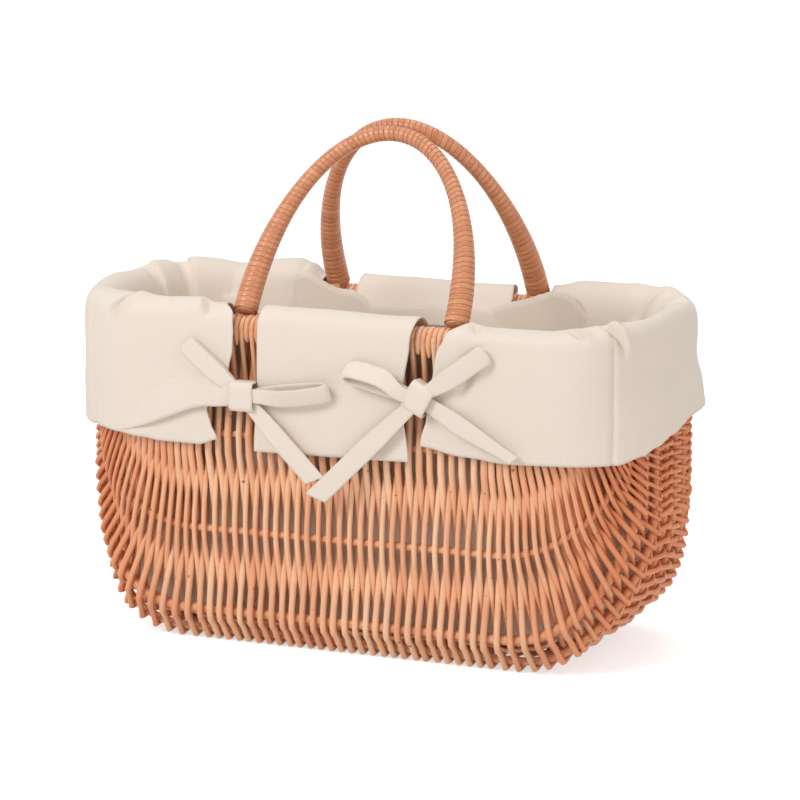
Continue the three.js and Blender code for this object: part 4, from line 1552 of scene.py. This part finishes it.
def white_for_camera(tree, surface, strength):
    """Adds white light of that strength, seen only by the camera and in reflections."""
    power = maths(tree, "MULTIPLY", seen_directly(tree), strength)
    glow = shade(tree, "Emission", Color=white, Strength=power)
    total = shade(tree, "AddShader")
    tree.links.new(surface, total.inputs[0])
    tree.links.new(glow.outputs[0], total.inputs[1])
    return total.outputs[0]


print("white for the camera ready")

# %% [markdown]
# ## The floor
# A pale floor stands in for a studio sweep. It could be left out with a white surround, but then
# the basket would float. The floor catches its shadow and some light for its underside.

# %% Floor
floor_size = 40.0
# Just below the rest face, so that the two don't flicker
floor_drop = 0.0002
bm = bmesh.new()
bmesh.ops.create_grid(bm, x_segments=1, y_segments=1, size=floor_size)
floor_mesh = bpy.data.meshes.new("floor")
bm.to_mesh(floor_mesh)
bm.free()
floor = bpy.data.objects.new("floor", floor_mesh)
floor.location.z = -floor_drop
scene.collection.objects.link(floor)
paper, paper_tree, paper_skin = new_finish("pale_floor")
paper_skin.inputs["Base Color"].default_value = srgb(240, 240, 240)
paper_skin.inputs["Roughness"].default_value = 0.9
paper_skin.inputs["Specular IOR Level"].default_value = 0.1
paper_glow = 0.6
paper_surface = white_for_camera(paper_tree, paper_skin.outputs[0], paper_glow)
paper_tree.links.new(paper_surface, paper_tree.nodes["Material Output"].inputs["Surface"])
floor_mesh.materials.append(paper)
print("floor:", floor.name)

# %% [markdown]
# ## The surround
# The surround is white for the camera and dimmer as a light. At full strength it would light the
# basket from all sides alike and flatten the weave, which the lamps should model.

# %% Surround
world = bpy.data.worlds.new("studio")
scene.world = world
world.use_nodes = True
sky_tree = world.node_tree
sky = sky_tree.nodes["Background"]
sky.inputs["Color"].default_value = white
sky_level = shade(sky_tree, "MapRange", To_Min=0.45, To_Max=1.0)
sky_tree.links.new(seen_directly(sky_tree), sky_level.inputs["Value"])
sky_tree.links.new(sky_level.outputs[0], sky.inputs["Strength"])
print("surround:", world.name)

# %% [markdown]
# ## The lamps
# Large soft lamps give gentle shade: the main one from the upper left, a warmer and weaker one from
# the right, and one from above that lights the inside of the liner. A sun lamp would be simpler,
# but its hard shadows would hide the folds of the pale cloth.

# %% Lamps
def soft_lamp(name, place, aim, size, power, colour=(1.0, 1.0, 1.0)):
    lamp = bpy.data.lights.new(name, "AREA")
    lamp.shape = "DISK"
    lamp.size = size
    lamp.energy = power
    lamp.color = colour
    holder = bpy.data.objects.new(name, lamp)
    holder.location = place
    holder.rotation_euler = (Vector(aim) - Vector(place)).to_track_quat("-Z", "Y").to_euler()
    scene.collection.objects.link(holder)


soft_lamp("key_lamp", (-0.8, -1.7, 1.4), (0, 0, 0.14), 1.0, 20.8)
soft_lamp("fill_lamp", (2.0, -0.8, 0.7), (0, 0, 0.14), 1.2, 8.5, (1.0, 0.92, 0.9))
soft_lamp("top_lamp", (0.1, 0.3, 2.0), (0, 0, 0.2), 1.2, 9.5)
print("lamps:", len(bpy.data.lights))

# %% [markdown]
# ## The camera
# The camera looks from the front right, a little above the rim. It could be placed by eye, but then
# the proportions couldn't be compared with the photograph. So its place and its lens were fitted to
# the rim, the ribs and the feet of the handles, with the focal length in pixels.

# %% Camera
azimuth = 0.402
elevation = 0.181
camera_distance = 1.987
focal_pixels = 3080
picture_width = 800
sensor_width = 36.0
target = Vector((0.00755, 0, 0.1525))
level_reach = math.cos(elevation)
back_way = Vector((
    math.sin(azimuth) * level_reach, -math.cos(azimuth) * level_reach, math.sin(elevation)))
lens = bpy.data.cameras.new("camera")
lens.sensor_width = sensor_width
lens.lens = sensor_width * focal_pixels / picture_width
lens.clip_end = 20.0
camera = bpy.data.objects.new("camera", lens)
camera.location = target + camera_distance * back_way
camera.rotation_euler = (-back_way).to_track_quat("-Z", "Y").to_euler()
scene.collection.objects.link(camera)
scene.camera = camera
print("camera at", [round(c, 3) for c in camera.location])
